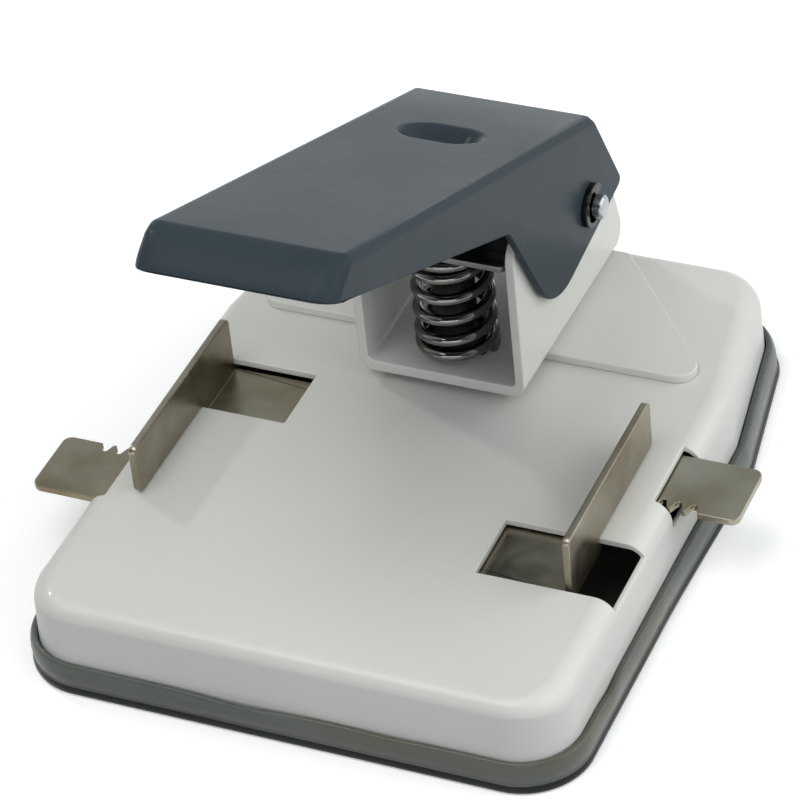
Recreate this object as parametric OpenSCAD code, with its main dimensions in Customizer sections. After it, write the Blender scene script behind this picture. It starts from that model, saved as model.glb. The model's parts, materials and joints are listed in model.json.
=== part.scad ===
// Hand-pressed punch that cuts a hanging slot in a plastic card.
// A lever on a rear bracket drives the slot blade, and two racked guides centre the card under it.
// The desk is at z = 0, the card is pushed in from -Y, and the base is centred on the origin.

/* [Cover] */
// Width of the cover
base_w = 113.6; // [112:0.2:130]
// Depth of the cover
base_d = 140.5; // [136:0.5:160]
// Height of the card table above the desk
table_h = 20.5; // [19:0.5:30]
// Thickness of the cover's sheet
sheet_t = 1.5; // [1.2:0.1:2]
// Radius of the cover's front corners, seen from above
corner_r = 12; // [10:1:16]
// Radius of the cover's rear corners, seen from above
rear_corner_r = 12; // [10:1:16]
// Length of the stretch at the back where the cover's sides draw in
taper_d = 41; // [38:1:44]
// How far each side draws in over that stretch
taper_in = 6.5; // [4:0.5:8]
// Radius of the corner where the sides start to draw in
taper_r = 10; // [5:1:20]
// Radius of the cover's rolled top edge
edge_r = 4.5; // [3.5:0.5:6]

/* [Chip tray] */
// Thickness of the tray's wall and floor
tray_t = 1.5; // [1:0.1:2.5]
// Height of the tray's rim above the desk
tray_h = 7.3; // [4:0.1:9]
// Gap between the tray's wall and the cover
tray_fit = 0.25; // [0.1:0.05:0.5]

/* [Card stop] */
// Distance from the card's stopped edge to the cover's back
stop_back = 41.5; // [41.3:0.1:50]
// Thickness of the stop plate, which sets the gap that the card enters
stop_t = 2; // [1.5:0.1:3]
// Width of the stop plate's front edge
stop_w = 104; // [90:1:106]
// Width of the stop plate's back edge
stop_back_w = 42; // [38:1:48]
// Depth of the stop plate
stop_d = 36.5; // [35:0.5:37]
// Radius of the stop plate's corners
stop_r = 4; // [2:0.5:6]

/* [Bracket] */
// Width of the bracket
bracket_w = 36; // [34:0.5:38]
// Thickness of the bracket's walls
bracket_t = 2; // [1.5:0.1:2.5]
// Thickness of the bracket's floor
floor_t = 2.5; // [2:0.1:3.5]
// Radius of the bend between floor and wall, outside
bracket_bend = 3.5; // [3:0.5:4]
// How far the bracket reaches over the card
bracket_front = 15.5; // [15:0.1:17]
// How far the bracket reaches behind the stopped edge
bracket_back = 42.1; // [38:0.1:43]
// Radius of the wall's rear foot
foot_r = 5; // [2:0.5:6]
// Radius of the wall's rear corner, round the pin
lobe_r = 13.5; // [11:0.5:14]
// How far the wall's rear top corner lies behind the pin
lobe_back = 10; // [8:0.5:11]
// Radius of the wall's front top corner
bracket_r = 5; // [2:0.5:8]

/* [Pivot] */
// Distance of the pin behind the stopped edge
pin_back = 19.5; // [17:0.5:21]
// Height of the pin above the card table
pin_h = 26; // [24:0.5:28]
// Diameter of the pin
pin_d = 5; // [4:0.5:6]
// Length of the pin past the lever on each side
pin_out = 3.5; // [2.5:0.1:5]
// Running clearance of the pin, on the radius
pin_fit = 0.05; // [0.02:0.01:0.1]
// Outer diameter of a pin clip
clip_d = 9.4; // [9:0.1:11]
// Thickness of a pin clip
clip_t = 0.7; // [0.5:0.1:0.9]
// Depth of the clip's groove
groove = 0.5; // [0.3:0.05:0.7]
// Play of a clip in its groove
clip_play = 0.1; // [0.05:0.05:0.2]
// Width of a clip's lugs
clip_lug = 1.8; // [1.2:0.1:2.2]
// Width of a clip's mouth
clip_mouth = 3.2; // [2.8:0.1:3.6]
// Gap between a clip and the lever
clip_gap = 0.3; // [0.2:0.05:0.5]

/* [Lever] */
// Angle by which the raised lever tilts
lever_tilt = 22.2; // [20:0.2:24]
// Angle by which the lever is pressed
press_turn = 15; // [10:0.5:15]
// Thickness of the lever's sheet
lever_t = 1.5; // [1.2:0.1:2]
// Side gap between lever and bracket
lever_gap = 0.4; // [0.3:0.1:1]
// Height of the lever's top above the pin
lever_top = 18.8; // [18:0.2:21]
// Distance from the pin to the front of the lever's top
lever_front = 125.5; // [110:0.5:128]
// How far the lever's front slopes forward to its lower edge
nose_lean = 5; // [0:0.5:7]
// Distance from the pin to the back edge of the lever's top
lever_back = 2.3; // [1:0.1:4]
// Depth of the skirt at the front
lip_d = 7.6; // [5:0.2:9]
// Distance from the pin to the notch where the flap starts
notch_a = 44.8; // [40:0.1:48]
// Depth of the skirt at the notch
notch_d = 14.6; // [12:0.2:16]
// Distance from the pin forward to where the flap's edges meet
flap_a = 15.4; // [13:0.2:17]
// Depth below the pin to where the flap's edges meet
flap_d = 19.2; // [17:0.2:20]
// Radius of the flap's tip
flap_r = 15; // [10:1:16]
// Distance from the pin back to the flap's rear corner
rear_a = 19.3; // [16:0.1:22]
// Height of the flap's rear corner above the pin
rear_h = 1.2; // [0:0.1:3]
// Radius of the bends along the lever's top
lever_bend = 2; // [2:0.5:4]
// Radius of the lever's front corners, seen from above
nose_r = 4.5; // [4:0.5:9]
// Distance from the pin to the dimple
dimple_a = 33.5; // [32:0.5:35]
// Depth of the dimple
dimple_d = 3.7; // [3:0.1:4.5]
// Radius of the dimple's round
dimple_r = 9; // [8:0.5:10]
// Straight length of the dimple across the lever
dimple_w = 4.5; // [2:0.5:8]

/* [Punch] */
// Length of the slot that the blade cuts
slot_l = 12; // [10:0.5:12.4]
// Width of the slot that the blade cuts
slot_w = 3; // [2.5:0.1:4]
// Distance from the card's stopped edge to the slot's middle
slot_edge = 6; // [5.7:0.1:6.3]
// Running clearance of the blade, on each side
blade_fit = 0.05; // [0.02:0.01:0.1]
// Height of the raised blade's tip above the bracket's underside
blade_rest = 0.3; // [0.1:0.1:0.6]
// Gap between the stem and the bracket's floor with the lever pressed
stem_gap = 0.4; // [0.3:0.1:1]
// Diameter of the stem
stem_d = 9; // [7:0.5:10]
// Depth to which the blade is let into the stem
blade_grip = 2; // [1:0.5:4]
// Diameter of the cap on the stem
cap_d = 16; // [15:0.5:18]
// Gap between the cap and the lever's dimple
cap_gap = 0.15; // [0.1:0.05:0.3]
// Diameter of the pin across cap and stem
cap_pin_d = 3; // [2:0.5:3.5]
// Depth to which the stem enters the cap
cap_grip = 10; // [8:0.5:12]

/* [Spring] */
// Outer diameter of the spring
spring_d = 17.6; // [17.4:0.1:18.6]
// Diameter of the spring's wire
wire_d = 2.4; // [2:0.1:2.4]
// Installed height of the spring
spring_h = 28; // [28:0.5:32]
// Number of turns in the middle of the spring
open_turns = 4; // [3:0.5:5]
// Pitch of the close turn at each end
end_pitch = 3; // [2.9:0.05:3.4]
// Gap between the spring and its seats
seat_gap = 0.1; // [0.05:0.05:0.2]
// Thickness of the spring plate
spring_plate_t = 1.5; // [1.2:0.1:2]
// Depth of the spring plate, front to back
spring_plate_d = 18; // [16:0.5:19]
// Gap between the spring plate and the bracket's walls
spring_plate_gap = 0.4; // [0.3:0.05:0.6]

/* [Guides] */
// Distance from each guide to the middle, as set
guide_half = 45; // [43:0.5:46]
// Way that each guide can go towards the middle
travel_in = 17.5; // [14:0.5:18]
// Way that each guide can go outwards
travel_out = 7; // [4:0.5:8]
// Distance from the stopped edge to the pinion
guide_setback = 41.4; // [40:0.2:46]
// Thickness of the guides' sheet
guide_t = 1.5; // [1.2:0.1:2]
// Height of the guide walls above the card table
wall_h = 11.5; // [8:0.5:14]
// Length of a guide wall behind the pinion
wall_back = 21.8; // [18:0.2:23]
// Gap between a guide wall and the card table
wall_gap = 0.4; // [0.3:0.05:0.6]
// Width of a rack strip
strip_w = 16.1; // [14:0.1:18]
// How far a finger tab still stands out of the cover with the guides wide open
tab_grip = 5.4; // [4:0.1:8]
// Radius of a finger tab's corners
tab_r = 2; // [1:0.5:5]
// Clearance above and below the strips
slide_gap = 0.4; // [0.3:0.05:0.5]
// Gap round a strip or wall where it passes the cover
pass_gap = 0.5; // [0.4:0.05:0.7]
// Depth of a guide window below the card table at the cover's edge
window_depth = 2.8; // [2.6:0.1:3.5]
// Depth of a side slot below the card table
side_slot_depth = 6.4; // [5:0.1:7]
// How far out from the start of the cover's roll a side slot begins
roll_start = 1; // [0.5:0.1:1.2]

/* [Rack drive] */
// Number of teeth on the pinion
pinion_teeth = 16; // [14:2:18]
// Module of the teeth
gear_m = 1; // [0.8:0.05:1.1]
// Play between rack and pinion teeth
backlash = 0.3; // [0.2:0.05:0.4]
// Number of rack gaps from the middle to the finger tab
rack_gaps = 19; // [14:1:19]
// Number of rack gaps from the middle to the guide wall
rack_back_gaps = 8; // [7:1:10]
// Diameter of the pinion's stud
pinion_stud_d = 4; // [3:0.5:5]
// Running clearance of the pinion, on the radius
pinion_fit = 0.05; // [0.02:0.01:0.1]
// Diameter of the rivet head under the keeper
stud_head_d = 7; // [6:0.5:9]
// Height of the rivet head under the keeper
stud_head_t = 1.2; // [0.8:0.1:2]
// Thickness of the guide keeper
keeper_t = 1.5; // [1:0.1:2]
// Width of the guide keeper
keeper_w = 60; // [56:1:70]
// Distance of the keeper's studs from the middle
keeper_stud_x = 24; // [20:1:26]
// Diameter of a keeper stud's shoulder
shoulder_d = 4.4; // [4:0.1:5]
// Gap between a stud's shoulder and the strip that it guides
shoulder_gap = 0.3; // [0.2:0.05:0.4]

/* [Under the cover] */
// Thickness of the reinforcement plate
plate_t = 3; // [2.5:0.1:3.5]
// Width of the reinforcement plate
plate_w = 48; // [46:1:60]
// How far the reinforcement plate reaches in front of the stopped edge
plate_front = 12.2; // [11.8:0.1:12.4]
// How far the reinforcement plate reaches behind the stopped edge
plate_back = 36; // [35:0.5:37]
// Width of the die's flange
die_w = 26; // [24:0.5:27]
// Depth of the die's flange
die_d = 11; // [10.5:0.1:11.4]
// Rim of the die round the slot, flush with the card table
die_rim = 2; // [1.5:0.1:2.4]
// Fit of the die in the plate and the cover, on each side
die_fit = 0.1; // [0.05:0.05:0.2]
// Thickness of the die clamp
clamp_t = 2; // [1.5:0.1:3]
// Width of the die clamp
clamp_w = 42; // [41:0.5:46]
// Depth of the die clamp
clamp_d = 12; // [11.6:0.1:12.4]
// Room for the chips round the slot in the clamp
chip_gap = 1; // [0.5:0.1:1.2]
// Distance of the clamp's screws from the middle
clamp_screw_x = 16.6; // [16.4:0.1:17]
// Distance of the bracket's screws from the middle
screw_x = 9; // [8:0.5:9.5]
// Distance of the front bracket screws behind the stopped edge
screw_front = 12; // [10:0.5:14]
// Distance of the rear bracket screws behind the stopped edge
screw_rear = 32; // [26:0.5:33]

/* [Fasteners] */
// Diameter of the bracket's screws
screw_d = 4; // [3:0.5:5]
// Diameter of the keeper's studs and the clamp's screws
small_screw_d = 3; // [2.5:0.5:3.5]
// Gap round a fastener in its hole
hole_gap = 0.1; // [0.05:0.05:0.2]
// Thickness of a bracket washer
washer_t = 0.8; // [0.5:0.1:1.2]
// How far a screw ends inside the surface that it enters
thread_end = 0.3; // [0.2:0.1:0.5]
// Height of a keeper nut
nut_t = 2.4; // [2:0.1:3]
// Length of a stud past its nut
stud_end = 0.8; // [0.4:0.1:2]
// Diameter of a screw head, over that of its screw
head_ratio = 1.75; // [1.6:0.05:2]
// Diameter of a washer or nut, over that of its screw
washer_ratio = 2.1; // [2:0.05:2.2]

/* [Hidden] */
$fn = 48;
hull_fn = 32;
arc_steps = 6;
// How far a cutter runs past the surface that it opens
over = 1;

// Places along the base
half_w = base_w / 2;
half_d = base_d / 2;
taper_turn = atan(taper_in / taper_d);
// Middle and radius of each corner on the right side of the cover's outline
base_corners = [
  [half_w - corner_r, corner_r - half_d, corner_r],
  [half_w - taper_r, half_d - taper_d - taper_r * tan(taper_turn / 2), taper_r],
  [half_w - (taper_d - rear_corner_r) * tan(taper_turn) - rear_corner_r / cos(taper_turn),
    half_d - rear_corner_r, rear_corner_r]
];
stop_y = half_d - stop_back;
punch_y = stop_y - slot_edge;
pin_y = stop_y + pin_back;
pin_z = table_h + pin_h;
pinion_y = stop_y - guide_setback;

// Levels
floor_z = table_h + stop_t;
floor_top = floor_z + floor_t;
bracket_top = pin_z + lobe_r;
sheet_z = table_h - sheet_t;
plate_z = sheet_z - plate_t;
strip_top = sheet_z - slide_gap;
strip_z = strip_top - guide_t;
keeper_top = strip_z - slide_gap;
keeper_z = keeper_top - keeper_t;
spring_top = floor_top + spring_h;
cap_z = spring_top + spring_plate_t;

// Lever
lever_half = bracket_w / 2 + lever_gap + lever_t;
pin_half = lever_half + pin_out;
clip_x = lever_half + clip_gap;
nose_slope = nose_lean / lip_d;
// Place of the lever's sloping front at a height; inset gives its inside
function nose_y(z, inset) = nose_slope * (z - lever_top) - lever_front + inset * norm([1, nose_slope]);
dimple_h = lever_top - dimple_d + dimple_r;
// Lowest point of the dimple with the lever at an angle
function press_z(tilt) = pin_z + dimple_a * sin(tilt) + dimple_h * cos(tilt) - dimple_r - lever_t;
stroke = press_z(lever_tilt) - press_z(lever_tilt - press_turn);
cap_top = press_z(lever_tilt) - cap_gap;
stem_top = cap_z + cap_grip;
stem_z = floor_top + stroke + stem_gap;
blade_z = floor_z + blade_rest;

// Rack drive
pitch_r = pinion_teeth * gear_m / 2;
tooth_pitch = PI * gear_m;
pressure = 20;
strip_in = pitch_r - gear_m;
strip_out = strip_in + strip_w;
tooth_root = 1.25 * gear_m;
keeper_stud_y = strip_out + shoulder_gap + shoulder_d / 2;
keeper_d = 2 * (keeper_stud_y + small_screw_d);
slot_x = half_w - edge_r + roll_start;
tab_end = half_w + travel_out + tab_grip;

cover_paint = [0.80, 0.80, 0.78];
lever_paint = [0.36, 0.40, 0.42];
tray_vinyl = [0.30, 0.34, 0.33];
nickel = [0.66, 0.63, 0.56];
steel = [0.62, 0.63, 0.65];
dark_steel = [0.35, 0.35, 0.37];
black_oxide = [0.12, 0.12, 0.13];

// Points of the round at corner q of an outline that comes from p and goes on to s
function corner(p, q, s, r) =
  let(
    u = [p.x - q.x, p.y - q.y] / norm([p.x - q.x, p.y - q.y]),
    v = [s.x - q.x, s.y - q.y] / norm([s.x - q.x, s.y - q.y]),
    half = acos(u * v) / 2,
    centre = [q.x, q.y] + (u + v) / norm(u + v) * r / sin(half),
    first = [q.x, q.y] + u * r / tan(half) - centre,
    last = [q.x, q.y] + v * r / tan(half) - centre,
    start = atan2(first.y, first.x),
    turn = (atan2(last.y, last.x) - start + 540) % 360 - 180
  )
  [
    for (i = [0:arc_steps])
      let(at = start + turn * i / arc_steps)
      centre + r * [cos(at), sin(at)]
  ];

// Outline through [x, y, corner radius] points
function rounded(points) =
  let(n = len(points))
  [
    for (i = [0:n - 1])
      let(q = points[i])
      each q.z > 0 ? corner(points[(i + n - 1) % n], q, points[(i + 1) % n], q.z) : [[q.x, q.y]]
  ];

// Rectangle with round corners, centred
module round_rect(w, d, r) {
  polygon(rounded([[-w / 2, -d / 2, r], [w / 2, -d / 2, r], [w / 2, d / 2, r], [-w / 2, d / 2, r]]));
}

// Slot shape with round ends, along X
module slot_shape(l, w) {
  square([l - w, w], center = true);
  for (side = [-1, 1])
    translate([side * (l - w) / 2, 0])
      circle(d = w);
}

// Places an outline drawn in Y and Z across the width w
module across(w) {
  rotate([90, 0, 90])
    linear_extrude(w, center = true)
      children();
}

// Round bar along X, centred
module cross_bar(d, l) {
  rotate([0, 90, 0])
    cylinder(d = d, h = l, center = true);
}

// Outline of the cover, grown all round
module base_shape(grow) {
  w = half_w + grow;
  d = half_d + grow;
  front = corner_r + grow;
  turn = taper_r + grow;
  rear = rear_corner_r + grow;
  turn_y = half_d - taper_d + grow * tan(taper_turn / 2);
  back_w = half_w - (taper_d + grow) * tan(taper_turn) + grow / cos(taper_turn);
  polygon(rounded([
    [-w, -d, front], [w, -d, front], [w, turn_y, turn],
    [back_w, d, rear], [-back_w, d, rear], [-w, turn_y, turn]
  ]));
}

// Solid on the cover's outline, with a rolled top edge
module rolled_base(grow, z_low, z_high, roll) {
  hull() {
    translate([0, 0, z_low])
      linear_extrude(z_high - roll - z_low)
        base_shape(grow);
    for (x = [-1, 1], corner = base_corners)
      translate([x * corner[0], corner[1], z_high - roll])
        rotate_extrude($fn = hull_fn)
          translate([corner[2] + grow - roll, 0])
            intersection() {
              circle(roll, $fn = hull_fn);
              square(roll);
            }
  }
}

// Opposite places for what the two guides share, half a turn apart round the pinion
module both_guides() {
  for (turn = [0, 180])
    translate([0, pinion_y, 0])
      rotate([0, 0, turn])
        children();
}

// Window in the cover for one guide's wall
module guide_window() {
  inner = guide_half - travel_in - pass_gap;
  translate([inner, -strip_out - pass_gap, table_h - window_depth])
    cube([half_w + over - inner, strip_w + pass_gap - slide_gap, window_depth + over]);
}

// Slot in the cover's side for one guide's finger tab
module side_slot() {
  translate([-half_w - over, -strip_out - pass_gap, table_h - side_slot_depth])
    cube([half_w + over - slot_x, strip_w + 2 * pass_gap, side_slot_depth + over]);
}

module bracket_holes(d, z_low, z_high) {
  for (x = [-screw_x, screw_x], y = [screw_front, screw_rear])
    translate([x, stop_y + y, z_low])
      cylinder(d = d, h = z_high - z_low);
}

module base_cover() {
  color(cover_paint)
    difference() {
      rolled_base(0, tray_t, table_h, edge_r);
      rolled_base(-sheet_t, tray_t - over, sheet_z, edge_r - sheet_t);
      both_guides() {
        guide_window();
        side_slot();
      }
      bracket_holes(screw_d + 2 * hole_gap, sheet_z - over, table_h + over);
      translate([0, punch_y, sheet_z - over])
        linear_extrude(sheet_t + 2 * over)
          slot_shape(slot_l + 2 * (die_rim + die_fit), slot_w + 2 * (die_rim + die_fit));
    }
}

module chip_tray() {
  color(tray_vinyl)
    difference() {
      linear_extrude(tray_h)
        base_shape(tray_fit + tray_t);
      translate([0, 0, tray_t])
        linear_extrude(tray_h)
          base_shape(tray_fit);
    }
}

module stop_plate() {
  outline = [
    [-stop_w / 2, stop_y, stop_r], [stop_w / 2, stop_y, stop_r],
    [stop_back_w / 2, stop_y + stop_d, stop_r / 2], [-stop_back_w / 2, stop_y + stop_d, stop_r / 2]
  ];
  color(cover_paint)
    difference() {
      translate([0, 0, table_h])
        linear_extrude(stop_t)
          polygon(rounded(outline));
      bracket_holes(screw_d + 2 * hole_gap, table_h - over, floor_z + over);
    }
}

// Cross-section of the bracket: a floor between two bent-up walls
module bracket_section() {
  inside_r = bracket_bend - bracket_t;
  difference() {
    translate([0, (floor_z + bracket_top + bracket_bend) / 2])
      round_rect(bracket_w, bracket_top + bracket_bend - floor_z, bracket_bend);
    translate([0, (floor_top + bracket_top + 2 * bracket_bend) / 2])
      round_rect(bracket_w - 2 * bracket_t, bracket_top + 2 * bracket_bend - floor_top, inside_r);
  }
}

module bracket() {
  front = stop_y - bracket_front;
  rear = stop_y + bracket_back;
  side = [
    [front, floor_z, 0], [front, bracket_top, bracket_r],
    [pin_y + lobe_back, bracket_top, lobe_r], [rear, floor_z, foot_r]
  ];
  color(cover_paint)
    difference() {
      intersection() {
        translate([0, rear + over, 0])
          rotate([90, 0, 0])
            linear_extrude(rear - front + 2 * over)
              bracket_section();
        across(bracket_w + 2 * over)
          polygon(rounded(side));
      }
      translate([0, pin_y, pin_z])
        cross_bar(pin_d + 2 * pin_fit, bracket_w + 2 * over);
      bracket_holes(screw_d + 2 * hole_gap, floor_z - over, floor_top + over);
      translate([0, punch_y, floor_z - over])
        linear_extrude(floor_t + 2 * over)
          slot_shape(slot_l + 2 * blade_fit, slot_w + 2 * blade_fit);
    }
}

// Lever body, drawn level about the pin; inset shrinks it to the space inside its sheet
module lever_body(inset) {
  half = lever_half - inset;
  top = lever_top - inset;
  low = -flap_d - 2 * over;
  front = nose_y(low, inset);
  back = rear_a + 2 * over;
  lip_z = lever_top - lip_d;
  skirt = [
    [-lever_back, lever_top, 0], [nose_y(lever_top, 0), lever_top, lever_bend + lever_t],
    [nose_y(lip_z, 0), lip_z, lever_t], [-notch_a, lever_top - notch_d, 1.5 * lever_bend],
    [-flap_a, -flap_d, flap_r], [rear_a, rear_h, lever_t]
  ];
  room = [[back, top, 0], [nose_y(top, inset), top, lever_bend], [front, low, 0], [back, low, 0]];
  intersection() {
    across(2 * half)
      polygon(rounded(inset > 0 ? room : skirt));
    translate([0, back, (top + low) / 2])
      rotate([90, 0, 0])
        linear_extrude(back - front)
          round_rect(2 * half, top - low, lever_bend - inset);
    multmatrix([[1, 0, 0, 0], [0, 1, nose_slope, nose_y(0, inset)], [0, 0, 1, 0]])
      translate([0, lever_front, low])
        linear_extrude(top - low)
          round_rect(2 * half, 2 * lever_front, nose_r - inset);
  }
}

// Round-ended trough that forms the dimple, grown by the sheet for its underside
module dimple(grow) {
  translate([0, -dimple_a, dimple_h])
    hull()
      for (x = [-1, 1])
        translate([x * dimple_w / 2, 0, 0])
          sphere(dimple_r + grow, $fn = hull_fn);
}

module lever() {
  color(lever_paint)
    translate([0, pin_y, pin_z])
      rotate([-lever_tilt, 0, 0])
        difference() {
          union() {
            difference() {
              lever_body(0);
              lever_body(lever_t);
            }
            intersection() {
              dimple(lever_t);
              translate([-lever_half + lever_bend, -dimple_a - dimple_r - lever_t, 0])
                cube([2 * (lever_half - lever_bend), 2 * (dimple_r + lever_t), lever_top - lever_t / 2]);
            }
          }
          dimple(0);
          cross_bar(pin_d + 2 * pin_fit, 2 * lever_half + 2 * over);
        }
}

module pivot_pin() {
  color(steel)
    translate([0, pin_y, pin_z])
      difference() {
        cross_bar(pin_d, 2 * pin_half);
        for (side = [-1, 1])
          translate([side * (clip_x + clip_t / 2), 0, 0])
            difference() {
              cross_bar(pin_d + over, clip_t + clip_play);
              cross_bar(pin_d - 2 * groove, clip_t + over);
            }
      }
}

// Open ring with three lugs that grip the pin's groove
module clip_shape() {
  grip_d = pin_d - 2 * groove;
  room_d = (clip_d + grip_d) / 2;
  difference() {
    union() {
      difference() {
        circle(d = clip_d);
        circle(d = room_d);
      }
      intersection() {
        circle(d = clip_d);
        for (turn = [0, 120, 240])
          rotate(turn)
            translate([-clip_d / 2, -clip_lug / 2])
              square([clip_d / 2, clip_lug]);
      }
    }
    circle(d = grip_d + hole_gap / 2);
    translate([0, -clip_mouth / 2])
      square([clip_d, clip_mouth]);
  }
}

module pivot_clips() {
  color(black_oxide)
    for (side = [-1, 1])
      translate([side * (clip_x + clip_t / 2), pin_y, pin_z])
        rotate([0, 90, 0])
          linear_extrude(clip_t, center = true)
            clip_shape();
}

// Spring wire: points on the coil's middle line, with a close turn at each end
ring_steps = 8;
wire_sides = 6;
coil_r = (spring_d - wire_d) / 2;
turns = open_turns + 2;
coil_low = floor_top + seat_gap + wire_d / 2;
coil_rise = spring_h - 2 * seat_gap - wire_d;
open_pitch = (coil_rise - 2 * end_pitch) / open_turns;
function coil_z(t) =
  coil_low + end_pitch * min(t, 1) + open_pitch * min(max(t - 1, 0), open_turns)
  + end_pitch * max(t - 1 - open_turns, 0);
coil_rings = floor(turns * ring_steps);
coil = [
  for (i = [0:coil_rings])
    let(t = i * turns / coil_rings)
    [coil_r * sin(360 * t), punch_y - coil_r * cos(360 * t), coil_z(t)]
];
coil_gap = min([
  for (i = [0:coil_rings], j = [i + ring_steps / 2:coil_rings])
    norm(coil[i] - coil[j]) - wire_d
]);
echo(least_gap_between_spring_turns = coil_gap);

module return_spring() {
  wire_points = [
    for (p = coil, k = [0:wire_sides - 1])
      let(
        turn = atan2(p.y - punch_y, p.x),
        out = wire_d / 2 * cos(90 + 360 * k / wire_sides),
        up = wire_d / 2 * sin(90 + 360 * k / wire_sides)
      )
      p + [out * cos(turn), out * sin(turn), up]
  ];
  last = coil_rings * wire_sides;
  wire_faces = [
    for (i = [0:coil_rings - 1], k = [0:wire_sides - 1])
      let(a = i * wire_sides + k, b = i * wire_sides + (k + 1) % wire_sides)
      each [[a, a + wire_sides, b], [b, a + wire_sides, b + wire_sides]],
    for (k = [1:wire_sides - 2])
      each [[0, k, k + 1], [last, last + k + 1, last + k]]
  ];
  color(dark_steel)
    polyhedron(wire_points, wire_faces, convexity = 10);
}

module spring_plate() {
  plate_width = bracket_w - 2 * (bracket_t + spring_plate_gap);
  color(steel)
    translate([0, punch_y, spring_top])
      difference() {
        linear_extrude(spring_plate_t)
          round_rect(plate_width, spring_plate_d, spring_plate_t);
        translate([0, 0, -over])
          cylinder(d = stem_d + 2 * hole_gap, h = spring_plate_t + 2 * over);
      }
}

module punch() {
  color(steel)
    translate([0, punch_y, 0])
      difference() {
        union() {
          translate([0, 0, blade_z])
            linear_extrude(stem_z + blade_grip - blade_z)
              slot_shape(slot_l, slot_w);
          translate([0, 0, stem_z])
            cylinder(d = stem_d, h = stem_top - stem_z);
        }
        translate([0, 0, cap_z + cap_grip / 2])
          cross_bar(cap_pin_d + hole_gap, stem_d + over);
      }
}

module punch_cap() {
  color(dark_steel)
    translate([0, punch_y, 0])
      difference() {
        translate([0, 0, cap_z])
          cylinder(d = cap_d, h = cap_top - cap_z);
        translate([0, 0, cap_z - over])
          cylinder(d = stem_d + hole_gap, h = cap_grip + over + hole_gap);
        translate([0, 0, cap_z + cap_grip / 2])
          cross_bar(cap_pin_d + hole_gap, cap_d + over);
      }
}

module cap_pin() {
  color(steel)
    translate([0, punch_y, cap_z + cap_grip / 2])
      cross_bar(cap_pin_d, cap_d - 2 * thread_end);
}

module die_insert() {
  color(dark_steel)
    translate([0, punch_y, 0])
      difference() {
        union() {
          translate([0, 0, plate_z])
            linear_extrude(plate_t)
              square([die_w, die_d], center = true);
          translate([0, 0, plate_z])
            linear_extrude(plate_t + sheet_t)
              slot_shape(slot_l + 2 * die_rim, slot_w + 2 * die_rim);
        }
        translate([0, 0, plate_z - over])
          linear_extrude(plate_t + sheet_t + 2 * over)
            slot_shape(slot_l + 2 * blade_fit, slot_w + 2 * blade_fit);
      }
}

module clamp_holes(d, z_low, z_high) {
  for (x = [-clamp_screw_x, clamp_screw_x])
    translate([x, punch_y, z_low])
      cylinder(d = d, h = z_high - z_low);
}

module die_clamp() {
  color(steel)
    difference() {
      translate([0, punch_y, plate_z - clamp_t])
        linear_extrude(clamp_t)
          difference() {
            round_rect(clamp_w, clamp_d, clamp_t);
            slot_shape(slot_l + 2 * chip_gap, slot_w + 2 * chip_gap);
          }
      clamp_holes(small_screw_d + 2 * hole_gap, plate_z - clamp_t - over, plate_z + over);
    }
}

module die_screws() {
  head_z = plate_z - clamp_t;
  color(steel)
    union() {
      clamp_holes(small_screw_d, head_z, sheet_z - thread_end);
      clamp_holes(head_ratio * small_screw_d, head_z - small_screw_d / 2, head_z);
    }
}

module reinforcement_plate() {
  depth = plate_front + plate_back;
  die_front = stop_y - plate_front - over;
  die_back = punch_y + die_d / 2 + die_fit;
  color(steel)
    difference() {
      translate([0, stop_y + (plate_back - plate_front) / 2, plate_z])
        linear_extrude(plate_t)
          round_rect(plate_w, depth, plate_t);
      translate([-die_w / 2 - die_fit, die_front, plate_z - over])
        cube([die_w + 2 * die_fit, die_back - die_front, plate_t + 2 * over]);
      bracket_holes(screw_d + 2 * hole_gap, plate_z - over, sheet_z + over);
      clamp_holes(small_screw_d + 2 * hole_gap, plate_z - over, sheet_z + over);
    }
}

module bracket_screws() {
  head_z = plate_z - washer_t;
  color(steel)
    union() {
      bracket_holes(screw_d, head_z, floor_top - thread_end);
      bracket_holes(head_ratio * screw_d, head_z - screw_d / 2, head_z);
    }
}

module bracket_washers() {
  color(steel)
    difference() {
      bracket_holes(washer_ratio * screw_d, plate_z - washer_t, plate_z);
      bracket_holes(screw_d + 2 * hole_gap, plate_z - washer_t - over, plate_z + over);
    }
}

// Places of the keeper's studs
module keeper_spots() {
  for (x = [-keeper_stud_x, keeper_stud_x], y = [-keeper_stud_y, keeper_stud_y])
    translate([x, pinion_y + y, 0])
      children();
}

module guide_keeper() {
  color(steel)
    difference() {
      translate([0, pinion_y, keeper_z])
        linear_extrude(keeper_t)
          round_rect(keeper_w, keeper_d, small_screw_d / 2);
      keeper_spots()
        translate([0, 0, keeper_z - over])
          cylinder(d = small_screw_d + 2 * hole_gap, h = keeper_t + 2 * over);
      translate([0, pinion_y, keeper_z - over])
        cylinder(d = pinion_stud_d + hole_gap, h = keeper_t + 2 * over);
    }
}

module keeper_studs() {
  color(steel)
    keeper_spots() {
      translate([0, 0, keeper_top])
        cylinder(d = shoulder_d, h = sheet_z - keeper_top);
      translate([0, 0, keeper_z - nut_t - stud_end])
        cylinder(d = small_screw_d, h = sheet_z - keeper_z + nut_t + stud_end);
    }
}

module keeper_nuts() {
  color(steel)
    keeper_spots()
      translate([0, 0, keeper_z - nut_t])
        difference() {
          cylinder(d = washer_ratio * small_screw_d, h = nut_t, $fn = 6);
          translate([0, 0, -over])
            cylinder(d = small_screw_d + hole_gap, h = nut_t + 2 * over);
        }
}

module pinion_stud() {
  color(steel)
    translate([0, pinion_y, 0]) {
      translate([0, 0, keeper_z])
        cylinder(d = pinion_stud_d, h = strip_top - keeper_z);
      translate([0, 0, keeper_z - stud_head_t])
        cylinder(d = stud_head_d, h = stud_head_t);
    }
}

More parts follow.
